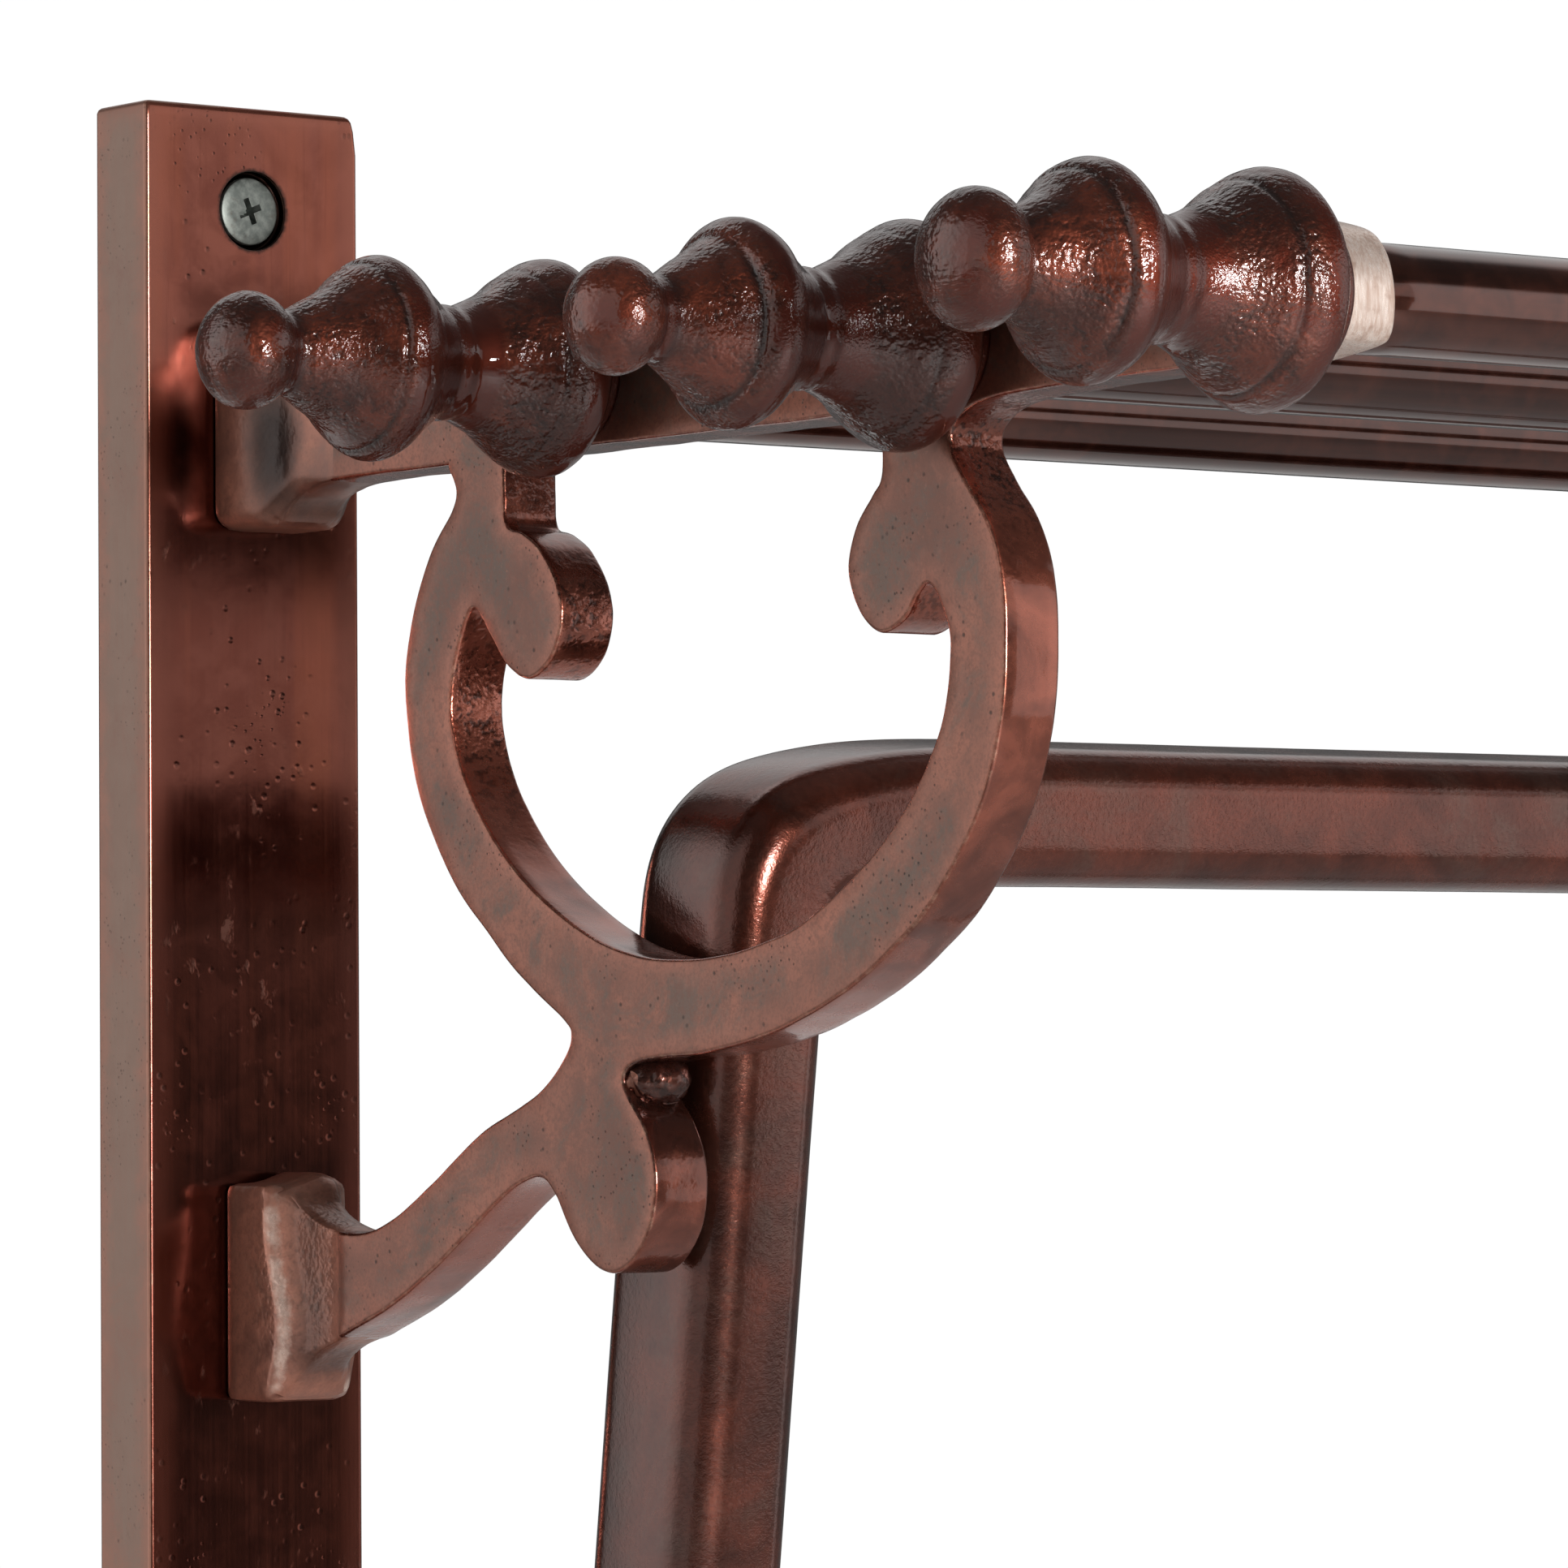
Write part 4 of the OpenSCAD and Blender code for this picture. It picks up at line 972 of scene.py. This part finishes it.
SOFT = [[11.2, 0.14], [10.0, 0.28], [8.6, 0.42], [7.4, 0.57], [6.4, 0.74], [5.5, 0.88]]
STEP = [[11.3, 0.09], [10.2, 0.20], [9.0, 0.30], [8.35, 0.42], [7.5, 0.55], [6.5, 0.72], [5.5, 0.88]]
for side, sign in (("left", -1), ("right", 1)):
    k = 0 if sign < 0 else 20
    finial(side + "_finial_rear", side + "_rear_finial", sign, RAIL_U["rear"], 1.2, 0.0, 1.01, cone_of(1.01, 41.6, SOFT), 41.6, 46.8, 6.8, 5.4,
           [(31.7, 0.42, 0.34), (9.3, 0.26, 0.34), (21.4, 0.10, 0.3)], 1 + k)
    finial(side + "_finial_middle", side + "_middle_finial", sign, RAIL_U["middle"], -0.3, 0.0, 0.985, cone_of(0.985, 39.6, STEP), 39.6, 45.0, 6.4, 5.2,
           [(32.2, 0.45, 0.36), (9.0, 0.26, 0.34), (21.4, 0.10, 0.3)], 2 + k)
    finial(side + "_finial_front", side + "_front_finial", sign, RAIL_U["front"], -0.45, math.radians(1.5), 1.0, cone_of(1.0, 40.0, SOFT), 40.0, 43.8, 7.4, 5.2,
           [(31.9, 0.42, 0.34), (9.1, 0.36, 0.34), (21.4, 0.10, 0.3)], 3 + k)


# ---- rails -----------------------------------------------------------------------------
def rail(name, node, u, seed):
    m = 72
    ph = np.linspace(0, 2 * np.pi, m, endpoint=False)
    xs = np.concatenate([[XQ, XQ + 0.05, XQ + 0.3], np.arange(XQ + 4, -XQ - 3, 4.0), [-XQ - 0.3, -XQ - 0.05, -XQ]])
    rings = []
    for x in xs:
        e = min(x - XQ, -XQ - x)
        r = 6.0 - (0.25 if e < 0.01 else 0.09 if e < 0.1 else 0.0)
        q = np.stack([np.full(m, x / 38.0), np.cos(ph) * 1.2 + seed, np.sin(ph) * 1.2], 1)
        rr = r + 0.018 * pnoise(q) * (e > 0.2)
        rings.append(np.stack([np.full(m, x), -u - rr * np.cos(ph), ZR - 0.25 + rr * np.sin(ph)], 1))
    for x, r in ((-XQ, 4.5), (-XQ - 6, 4.5)):
        rings.append(np.stack([np.full(m, x), -u - r * np.cos(ph), ZR + r * np.sin(ph)], 1))
    left = [np.stack([np.full(m, x), -u - r * np.cos(ph), ZR + r * np.sin(ph)], 1) for x, r in ((XQ + 6, 4.5), (XQ, 4.5))]
    V, F = tube_mesh(left + rings)
    ob = mesh_object(name, V, F, [M["rail"]], sharp=40)
    return place(ob, "frame", "rail_bronze", node)


for k, nm in enumerate(("rear", "middle", "front")):
    rail(nm + "_tube_rail", nm + "_rail", RAIL_U[nm], 5.0 * k)


# ---- bail -------------------------------------------------------------------------------
def section(a, b, r, m):
    """Rounded rectangle of half sizes a and b, its sides crowned, in m even steps round."""
    P = []
    for q, (cx, cy) in enumerate(((a - r, b - r), (-(a - r), b - r), (-(a - r), -(b - r)), (a - r, -(b - r)))):
        for t in np.linspace(0, np.pi / 2, 200, endpoint=False):
            P.append((cx + r * math.cos(q * np.pi / 2 + t), cy + r * math.sin(q * np.pi / 2 + t)))
    P = np.array(P + P[:1])
    d = np.concatenate([[0], np.cumsum(np.linalg.norm(np.diff(P, axis=0), axis=1))])
    s = np.linspace(0, d[-1], m, endpoint=False)
    Q = np.stack([np.interp(s, d, P[:, 0]), np.interp(s, d, P[:, 1])], 1)
    Q[:, 0] *= 1.012 - 0.055 * (Q[:, 1] / b) ** 2
    Q[:, 1] *= 1.008 - 0.030 * (Q[:, 0] / a) ** 2
    return Q


def lean(P):
    """From the bail's own plane (x, out of plane, up from the pivot) to the part's frame, at rest."""
    P = np.asarray(P, float)
    c, s = math.cos(LEAN), math.sin(LEAN)
    return np.stack([P[..., 0], -PIV_U + P[..., 1] * c - P[..., 2] * s, PIV_Z + P[..., 1] * s + P[..., 2] * c], -1)


SEC = section(TUBE_W / 2, TUBE_D / 2, 5.0, 104)


def bend_path():
    """Centre line of one corner: most of the turn in a tight middle, the rest drawn out along the leg and the bar."""
    t = np.linspace(-75, 75, 1201)
    k = 0.68 * np.exp(-(t / 6.8) ** 2) / (6.8 * math.sqrt(math.pi)) + 0.32 * np.exp(-((t - 8.3) / 18.4) ** 2) / (18.4 * math.sqrt(math.pi))
    a = np.cumsum(k) * (t[1] - t[0])
    a = math.pi / 2 - a / a[-1] * math.pi / 2           # heading: straight up, then along the bar
    x = np.cumsum(np.cos(a)) * (t[1] - t[0])
    y = np.cumsum(np.sin(a)) * (t[1] - t[0])
    return x - x[0] - LEG_X, y - y[-1] + BAIL_LEN, a, k / k.max()


def bail():
    sta = []                                            # (centre x, centre s, in-plane unit x, in-plane unit s, bend 0..1, size)
    px, py, pa, pk = bend_path()
    for s in [LEG_S0, LEG_S0 + 0.06, LEG_S0 + 0.35] + list(np.arange(LEG_S0 + 4, py[0] - 2, 4.0)):
        e = s - LEG_S0
        sta.append((-LEG_X, s, -1.0, 0.0, 0.0, 0.97 if e < 0.01 else 0.99 if e < 0.1 else 1.0))
    for k in list(range(0, 400, 20)) + list(range(400, 800, 5)) + list(range(800, 1201, 20)):
        sta.append((px[k], py[k], -math.sin(pa[k]), math.cos(pa[k]), float(pk[k]), 1.0))
    for x in np.arange(px[-1] + 4, -0.1, 4.0):
        sta.append((x, BAIL_LEN, 0.0, 1.0, 0.0, 1.0))
    sta.append((0.0, BAIL_LEN, 0.0, 1.0, 0.0, 1.0))
    sta += [(-x, s, -ix, js, b, z) for x, s, ix, js, b, z in sta[-2::-1]]
    rings = []
    for x, s, ix, js, b, z in sta:
        f = abs(js)
        z *= 1 + 0.030 * float(smooth01(s, 34, 90))
        w, d = SEC[:, 0] * z, SEC[:, 1] * z
        # the legs draw in a little above their feet
        x = x - math.copysign(0.4, x) * float(smooth01(s, 40, 140)) * (1 - f) if abs(x) > 1 else x
        s = s - 0.15 * f
        # the corner is filled out on the outside
        w = np.where(w > 0, w * (1 + 0.14 * b), w * (1 - 0.010 * b))
        d = d * (1 + 0.012 * b)
        rings.append(np.stack([x + ix * w, d, s + js * w], 1))
    R = np.array(rings)
    m = R.shape[1]
    V, F = tube_mesh(R)
    n_skin = R.shape[0] * m
    q = V[:n_skin]
    cen = np.repeat(R.mean(1), m, 0)
    nv = q - cen
    nv /= np.linalg.norm(nv, axis=1)[:, None] + 1e-9
    amp = 0.05 * fbm(q / 22.0, 2) + 0.02 * fbm(q / 6.0, 2)
    bendy = np.repeat(np.array([t[4] for t in sta]), m)
    inner_side = np.clip(-np.repeat(np.array([t[2] for t in sta]), m) * nv[:, 0] - np.repeat(np.array([t[3] for t in sta]), m) * nv[:, 2], 0, 1)
    ang = np.repeat(np.linspace(0, 1, len(sta)), m)
    amp += bendy ** 2 * inner_side * 0.05 * np.sin(ang * 900.0 + 3 * fbm(q / 5.0, 2))
    V = np.vstack([q + nv * amp[:, None], V[n_skin:]])
    ob = mesh_object("bail_tube", lean(V), F, [M["bail"]], sharp=45)
    # painted shade: the legs' outer sides are darker, most of all towards the wall
    side = np.clip(np.abs(V[:, 0]) - LEG_X, 0, 8) / 8.0
    back = smooth01(V[:, 1], -2.0, 7.5)
    point_attr(ob, "soot_and_shade", np.clip(smooth01(side, 0.45, 0.92) * (0.46 + 0.46 * back), 0, 1))
    return place(ob, "bail", "bail_bronze", "bail_frame")


bail()


def bail_foot(name, node, sign):
    """Solid fitting that closes a leg and carries the pivot bush."""
    rows = [(-20.0, 0.55), (-19.9, 0.70), (-19.5, 0.84), (-18.8, 0.92), (-17.6, 0.975), (-16.0, 1.0)]
    rows += [(s, 1.0) for s in np.arange(-12, 29, 4.0)] + [(29.6, 1.0), (29.92, 0.985), (30.0, 0.965)]
    R = [np.stack([sign * LEG_X + SEC[:, 0] * z, SEC[:, 1] * z, np.full(len(SEC), s)], 1) for s, z in rows]
    V, F = tube_mesh(R)
    ob = mesh_object(name, lean(V), F, [M["bail"]], sharp=40)
    a = np.linspace(0, 2 * np.pi, 64, endpoint=False)
    prof = [(-12.0, 6.6), (-8.25, 6.6), (-7.95, 6.25), (-7.8, 6.05), (7.8, 6.05), (7.95, 6.25), (8.25, 6.6), (12.0, 6.6)]
    C = [np.stack([sign * LEG_X + np.full(64, dx), -PIV_U + r * np.cos(a), PIV_Z + r * np.sin(a)], 1) for dx, r in prof]
    boolean(ob, mesh_object("bore", *tube_mesh(C), [M["bail"]]), "DIFFERENCE")
    shade(ob, 40)
    return place(ob, "bail", "bail_bronze", node)


bail_foot("left_leg_fitting", "left_bail_foot", -1)
bail_foot("right_leg_fitting", "right_bail_foot", 1)


# ---- pivot lugs, pins and washers ---------------------------------------------------------
def lug(name, node, sign):
    a = np.radians(np.linspace(-75, 75, 41))
    out = [[11.5, -15.0]] + [[PIV_U + 10.5 * math.cos(t), 10.5 * math.sin(t)] for t in a] + [[11.5, 15.0]]
    bore = [[PIV_U + 4.05 * math.cos(t), 4.05 * math.sin(t)] for t in np.linspace(0, 2 * np.pi, 48, endpoint=False)]
    yz = lambda P: np.stack([-np.array(P)[:, 0], np.array(P)[:, 1] + PIV_Z], 1)
    ob, _ = casting(name, [yz(out), yz(bore)], XP, XQ, 0.5, [M["edge"]], grid=2.4, wave=0.05)
    pad = [(11.5, 7.1, XP + 0.5, PIV_Z - 14.6, PIV_Z + 14.6, 1.0), (12.0, 7.5, XP + 0.5, PIV_Z - 15, PIV_Z + 15, 1.4), (15.4, 7.5, XP + 0.5, PIV_Z - 15, PIV_Z + 15, 1.4),
           (16.0, 7.3, XP + 0.5, PIV_Z - 14.8, PIV_Z + 14.8, 1.6), (16.35, 6.9, XP + 0.5, PIV_Z - 14.4, PIV_Z + 14.4, 1.8), (16.5, 6.3, XP + 0.5, PIV_Z - 13.8, PIV_Z + 13.8, 1.8)]
    boolean(ob, block("pad", pad, [M["edge"]]), "UNION")
    if sign > 0:
        ob.data.transform(Matrix.Diagonal((-1, 1, 1, 1)))
        ob.data.flip_normals()
    point_attr(ob, "edge", np.full(len(ob.data.vertices), 3.0))
    shade(ob, 38)
    return place(ob, "frame", "bracket_bronze", node)


lug("left_lug_casting", "left_pivot_lug", -1)
lug("right_lug_casting", "right_pivot_lug", 1)


def lathe_x(name, prof, x_of, u, z, mats, m=64, sharp=35):
    """prof: (radius, distance) pairs, turned about the x axis through (u, z)."""
    a = np.linspace(0, 2 * np.pi, m, endpoint=False)
    R = [np.stack([np.full(m, x_of(s)), -u + r * np.cos(a), z + r * np.sin(a)], 1) for r, s in prof]
    return R, tube_mesh(R)


for side, sign in (("left", -1), ("right", 1)):
    head = [(0.6, 5.0), (1.5, 4.97), (3.2, 4.72), (4.6, 4.2), (5.7, 3.5), (6.5, 2.6), (6.9, 1.8), (7.0, 1.1), (6.95, 0.35), (6.7, 0.02), (4.2, 0.0)]
    shank = [(4.0, -0.3), (4.0, -2.0), (4.0, -8.0), (4.0, -14.0), (4.0, -20.0), (4.0, -23.8), (3.7, -24.2), (3.3, -24.35)]
    _, (V, F) = lathe_x("", head + shank, lambda d, sg=sign: sg * (-XP + d), PIV_U, PIV_Z, None)
    ob = mesh_object(side + "_pin_turned", V, F, [M["brass"]], sharp=32)
    place(ob, "frame", "turned_brass", side + "_pivot_pin")

wash = []
for sign in (-1, 1):
    w = -XQ - 226.15
    prof = [(4.05, 0.0), (8.1, 0.0), (8.4, 0.12), (8.5, 0.45), (8.5, w - 0.45), (8.4, w - 0.12), (8.1, w), (4.05, w)]
    m = 72
    a = np.linspace(0, 2 * np.pi, m, endpoint=False)
    R = [np.stack([np.full(m, sign * (-XQ - s)), -PIV_U + r * np.cos(a), PIV_Z + r * np.sin(a)], 1) for r, s in prof]
    V = np.vstack(R)
    F = rings_to_faces(len(R), m) + [((len(R) - 1) * m + j, (len(R) - 1) * m + (j + 1) % m, (j + 1) % m, j) for j in range(m)]
    wash.append((V, F))
V = np.vstack([w[0] for w in wash])
F = wash[0][1] + [tuple(i + len(wash[0][0]) for i in f) for f in wash[1][1]]
place(mesh_object("turned_washers", V, F, [M["brass"]], sharp=32), "frame", "turned_brass", "pivot_washers")


# ---- screws --------------------------------------------------------------------------------
def cross_cut(d, head_y, face, size, depth):
    """Tapered cross recess, standing in the head's face; face is +1 if the head looks towards -y."""
    V, F = [], []
    for q in range(2):
        ca, sa = math.cos(d + q * math.pi / 2), math.sin(d + q * math.pi / 2)
        for (l, w, h) in ((size, size * 0.24, -0.6), (size, size * 0.24, 0.0), (size * 0.42, size * 0.14, depth)):
            for (i, j) in ((1, 1), (-1, 1), (-1, -1), (1, -1)):
                px, pz = i * l / 2, j * w / 2
                V.append((px * ca - pz * sa, head_y + face * h, px * sa + pz * ca))
        b = 12 * q
        F += [tuple(b + i for i in f) for f in ((3, 2, 1, 0), (8, 9, 10, 11))]
        for r0 in (0, 4):
            F += [(b + r0 + i, b + r0 + (i + 1) % 4, b + r0 + 4 + (i + 1) % 4, b + r0 + 4 + i) for i in range(4)]
    return np.array(V), F


def screw_mesh(head_r, head_h, shank, thread, face, turn, size):
    """A screw along y with its head's face at y 0, pointing to +y (face 1) or -y (face -1).
    shank is (radius, from, to); thread is (outer radius, from, to, pitch) or None."""
    m = 48
    a = np.linspace(0, 2 * np.pi, m, endpoint=False)
    prof = [(head_r * 0.25, -0.02), (head_r * 0.6, 0.0), (head_r - 0.35, 0.05), (head_r - 0.1, 0.18), (head_r, 0.45), (head_r, head_h[0]), (shank[0] + 0.15, head_h[1]), (shank[0], head_h[1] + 0.4)]
    prof += [(shank[0], s) for s in np.arange(head_h[1] + 1.2, shank[2] - 0.2, 1.0)] + [(shank[0], shank[2])]
    R = [np.stack([r * np.cos(a), np.full(m, y), r * np.sin(a)], 1) for r, y in prof]
    if thread:
        ro, y0, y1, pitch = thread
        core = ro * 0.70
        ys = np.arange(y0, y1, pitch / 10)
        for y in ys:
            f = (y / pitch - a / (2 * np.pi)) % 1.0
            tooth = np.clip(1 - np.abs(f - 0.5) / 0.30, 0, 1) ** 0.8
            taper = 1.0 - float(smooth01(y, y1 - 6.0, y1))
            fade = float(smooth01(y, y0, y0 + pitch))
            c = core * (0.22 + 0.78 * taper)
            r = c + (ro * (0.16 + 0.84 * taper) - c) * tooth * fade + (shank[0] - core) * (1 - fade) * taper
            r = np.minimum(np.maximum(r, 0.12), ro)
            R.append(np.stack([r * np.cos(a), np.full(m, y), r * np.sin(a)], 1))
    V, F = tube_mesh(R)
    V = V * np.array([1, face, 1])
    ob = mesh_object("screw", V, F, [M["zinc"]], sharp=35)
    cv, cf = cross_cut(turn, 0.0, face, size, 1.9)
    for q in range(2):
        sub = cv[12 * q: 12 * q + 12]
        sf = [f for f in cf if 12 * q <= min(f) < 12 * q + 12]
        boolean(ob, mesh_object("cut", sub, [tuple(i - 12 * q for i in f) for f in sf], [M["zinc"]]), "DIFFERENCE")
    return ob


def screws(name, node, made, spots):
    """Copies of one screw, joined in one piece."""
    parts_v, parts_f, o = [], [], 0
    for k, (x, y, z) in enumerate(spots):
        ob = made(k)
        co = coords(ob)
        parts_v.append(co + (x, y, z))
        parts_f += [tuple(v + o for v in p.vertices) for p in ob.data.polygons]
        o += len(co)
        bpy.data.objects.remove(ob)
    ob = mesh_object(name, np.vstack(parts_v), parts_f, [M["zinc"]], sharp=35)
    return place(ob, "frame", "zinc_screw", node)


xs_wall = X0 + STILE_W / 2
screws("wall_screws_cross_head", "wall_screws",
       lambda k: screw_mesh(4.25, (0.8, 3.8), (2.3, 0, 10.9), (2.1, 10.9, 30.9, 1.8), 1, math.radians((22, 64, 41, 5)[k]), 3.4),
       [(xs_wall, -STILE_T + 0.6, ZS), (-xs_wall, -STILE_T + 0.6, ZS), (xs_wall, -STILE_T + 0.6, -ZS), (-xs_wall, -STILE_T + 0.6, -ZS)])
screws("bracket_screws_sunk", "bracket_screws",
       lambda k: screw_mesh(4.9, (0.5, 2.6), (2.5, 0, 22.9), None, -1, math.radians((12, 50, 75, 33)[k]), 5.2),
       [(XM, -0.2, ZR), (-XM, -0.2, ZR), (XM, -0.2, ZR + FOOT_Z), (-XM, -0.2, ZR + FOOT_Z)])
screws("lug_screws_sunk", "lug_screws",
       lambda k: screw_mesh(3.9, (0.45, 2.1), (2.0, 0, 16.9), None, -1, math.radians((40, 8, 61, 25)[k]), 4.2),
       [(XM, -0.2, PIV_Z + 9.5), (-XM, -0.2, PIV_Z + 9.5), (XM, -0.2, PIV_Z - 9.5), (-XM, -0.2, PIV_Z - 9.5)])

for n in ("finial_studs", "rail_end_plugs", "pivot_bushes"):
    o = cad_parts[n]
    o.data.materials.clear()
    o.data.materials.append(M["brass"])

# ---- camera -----------------------------------------------------------------------------------
A, ROLL = 0.66681, -0.0066038
F_ = Vector((0.61806688, 0.78527064, 0.03665179)).normalized()
R0 = Vector((math.cos(A), -math.sin(A), 0.0))
U0 = R0.cross(F_)
Rv = math.cos(ROLL) * R0 + math.sin(ROLL) * U0
Uv = -math.sin(ROLL) * R0 + math.cos(ROLL) * U0
cam_data = bpy.data.cameras.new("camera")
cam_data.sensor_fit = "AUTO"
cam_data.sensor_width = 36.0
cam_data.lens = 9261.6 / 1932.0 * 36.0
cam_data.clip_start, cam_data.clip_end = 0.01, 50.0
cam = bpy.data.objects.new("camera", cam_data)
m4 = Matrix((Rv, Uv, -F_)).transposed().to_4x4()
m4.translation = Vector((-0.764016, -0.792043, 0.199989))
cam.matrix_world = m4
scene.collection.objects.link(cam)
scene.camera = cam

# ---- floor ------------------------------------------------------------------------------------
fm = Tree("pale_floor")
fn_ = fm.noise(fm.mm(), 0.02, 3.0, 0.5)
fm.set(Base_Color=fm.mix(fm.span(fn_, 0.3, 0.7), (0.74, 0.74, 0.74), (0.78, 0.78, 0.77)), Roughness=0.7)
me = bpy.data.meshes.new("floor")
me.from_pydata([(-1.6, -1.6, -0.3215), (1.6, -1.6, -0.3215), (1.6, 1.6, -0.3215), (-1.6, 1.6, -0.3215)], [], [(0, 1, 2, 3)])
me.materials.append(fm.mat)
floor = bpy.data.objects.new("floor", me)
scene.collection.objects.link(floor)

# ---- light ------------------------------------------------------------------------------------
world = bpy.data.worlds.new("studio")
scene.world = world
world.use_nodes = True
wt = world.node_tree
wt.nodes.clear()


def wn(kind, **kw):
    n = wt.nodes.new(kind)
    for k, v in kw.items():
        setattr(n, k, v)
    return n


def wmath(op, a, b=0.0):
    n = wn("ShaderNodeMath", operation=op)
    for s, v in zip(n.inputs, (a, b)):
        if isinstance(v, bpy.types.NodeSocket):
            wt.links.new(v, s)
        else:
            s.default_value = v
    return n.outputs[0]


def wspan(v, a, b, c=0.0, d=1.0):
    n = wn("ShaderNodeMapRange", interpolation_type="SMOOTHSTEP")
    wt.links.new(v, n.inputs["Value"])
    for k, x in (("From Min", a), ("From Max", b), ("To Min", c), ("To Max", d)):
        n.inputs[k].default_value = x
    return n.outputs[0]


wc = wn("ShaderNodeTexCoord")
sep = wn("ShaderNodeSeparateXYZ")
wt.links.new(wc.outputs["Generated"], sep.inputs[0])
dx_, dy_, dz_ = sep.outputs
az = wmath("ARCTAN2", dx_, wmath("MULTIPLY", dy_, -1.0))                        # 0 straight in front, + to the right, in radians
el = wmath("ARCSINE", dz_)


def panel(a0, a1, level, soft=0.10, e0=-2.0, e1=2.0, esoft=0.15):
    """A soft-edged panel of light between two azimuths, in degrees, and two heights, in radians."""
    a0, a1 = math.radians(a0), math.radians(a1)
    f = wmath("MULTIPLY", wspan(az, a0 - soft, a0 + soft), wspan(az, a1 - soft, a1 + soft, 1.0, 0.0))
    f = wmath("MULTIPLY", f, wmath("MULTIPLY", wspan(el, e0 - esoft, e0 + esoft), wspan(el, e1 - esoft, e1 + esoft, 1.0, 0.0)))
    return wmath("MULTIPLY", f, level)


total = panel(-150, -101, 1.20, 0.16, -0.26, 0.60)                              # back left
for light in (panel(100, 200, 0.07, 0.20, -0.26, 0.15),                         # straight behind, seen along grazing faces
              panel(100, 186, 0.60, 0.20, 0.34, 0.95, 0.14),
              panel(-101, -57, 0.60, 0.06, -0.26, 0.70),                        # left
              panel(-75, 18, 0.88, 0.20, -0.95, -0.30, 0.12),                   # pale cloth in front, low down
              panel(20, 38.0, 0.60, 0.012, 0.032, 0.40, 0.018),                 # right of the front: a window with a dark sill
              panel(20, 36.4, 0.05, 0.012, -0.42, -0.05, 0.05),
              panel(38.0, 61, 1.02, 0.012, -0.12, 0.40, 0.05), panel(36.4, 61, 1.02, 0.012, -0.52, -0.12, 0.05),
              panel(67, 77, 0.95, 0.04, -0.36, 0.40, 0.06),                           # narrow strip on the right
              panel(77, 100, 0.12, 0.06, -0.60, 0.60),
              wmath("MULTIPLY", wspan(el, 0.70, 1.2), 0.05)):                   # ceiling
    total = wmath("ADD", total, light)
total = wmath("ADD", total, 0.045)
bg = wn("ShaderNodeBackground")
wt.links.new(total, bg.inputs["Color"])
white = wn("ShaderNodeBackground")
white.inputs["Color"].default_value = (1, 1, 1, 1)
white.inputs["Strength"].default_value = 1.02
lp = wn("ShaderNodeLightPath")
mixw = wn("ShaderNodeMixShader")
wt.links.new(lp.outputs["Is Camera Ray"], mixw.inputs[0])
wt.links.new(bg.outputs[0], mixw.inputs[1])
wt.links.new(white.outputs[0], mixw.inputs[2])
wo = wn("ShaderNodeOutputWorld")
wt.links.new(mixw.outputs[0], wo.inputs[0])


def softbox(name, az_deg, el_deg, dist, w, h, power, target=(-0.235, -0.12, 0.24)):
    d = bpy.data.lights.new(name, "AREA")
    d.shape = "RECTANGLE"
    d.size, d.size_y = w, h
    d.energy = power
    o = bpy.data.objects.new(name, d)
    a, e = math.radians(az_deg), math.radians(el_deg)
    back_ = Vector((math.sin(a) * math.cos(e), -math.cos(a) * math.cos(e), math.sin(e)))
    o.location = Vector(target) + back_ * dist
    o.rotation_mode = "QUATERNION"
    o.rotation_quaternion = back_.to_track_quat("Z", "Y")
    o.visible_camera = False
    scene.collection.objects.link(o)
    return o


softbox("key", -6, 4, 1.5, 0.34, 0.38, 18)

# a lamp high up that whitens the floor behind, and reaches nothing else
d = bpy.data.lights.new("floor_wash", "AREA")
d.shape = "RECTANGLE"
d.size, d.size_y, d.spread = 1.6, 0.9, math.radians(80)
d.energy = 5.0
o = bpy.data.objects.new("floor_wash", d)
o.location = (0.35, 1.15, 1.6)
o.visible_camera = False
scene.collection.objects.link(o)

scene.view_settings.view_transform = "Standard"
scene.view_settings.look = "None"
scene.view_settings.exposure = 0.0
scene.view_settings.gamma = 1.0

# ---- final update -------------------------------------------------------------------------------
bpy.context.view_layer.update()
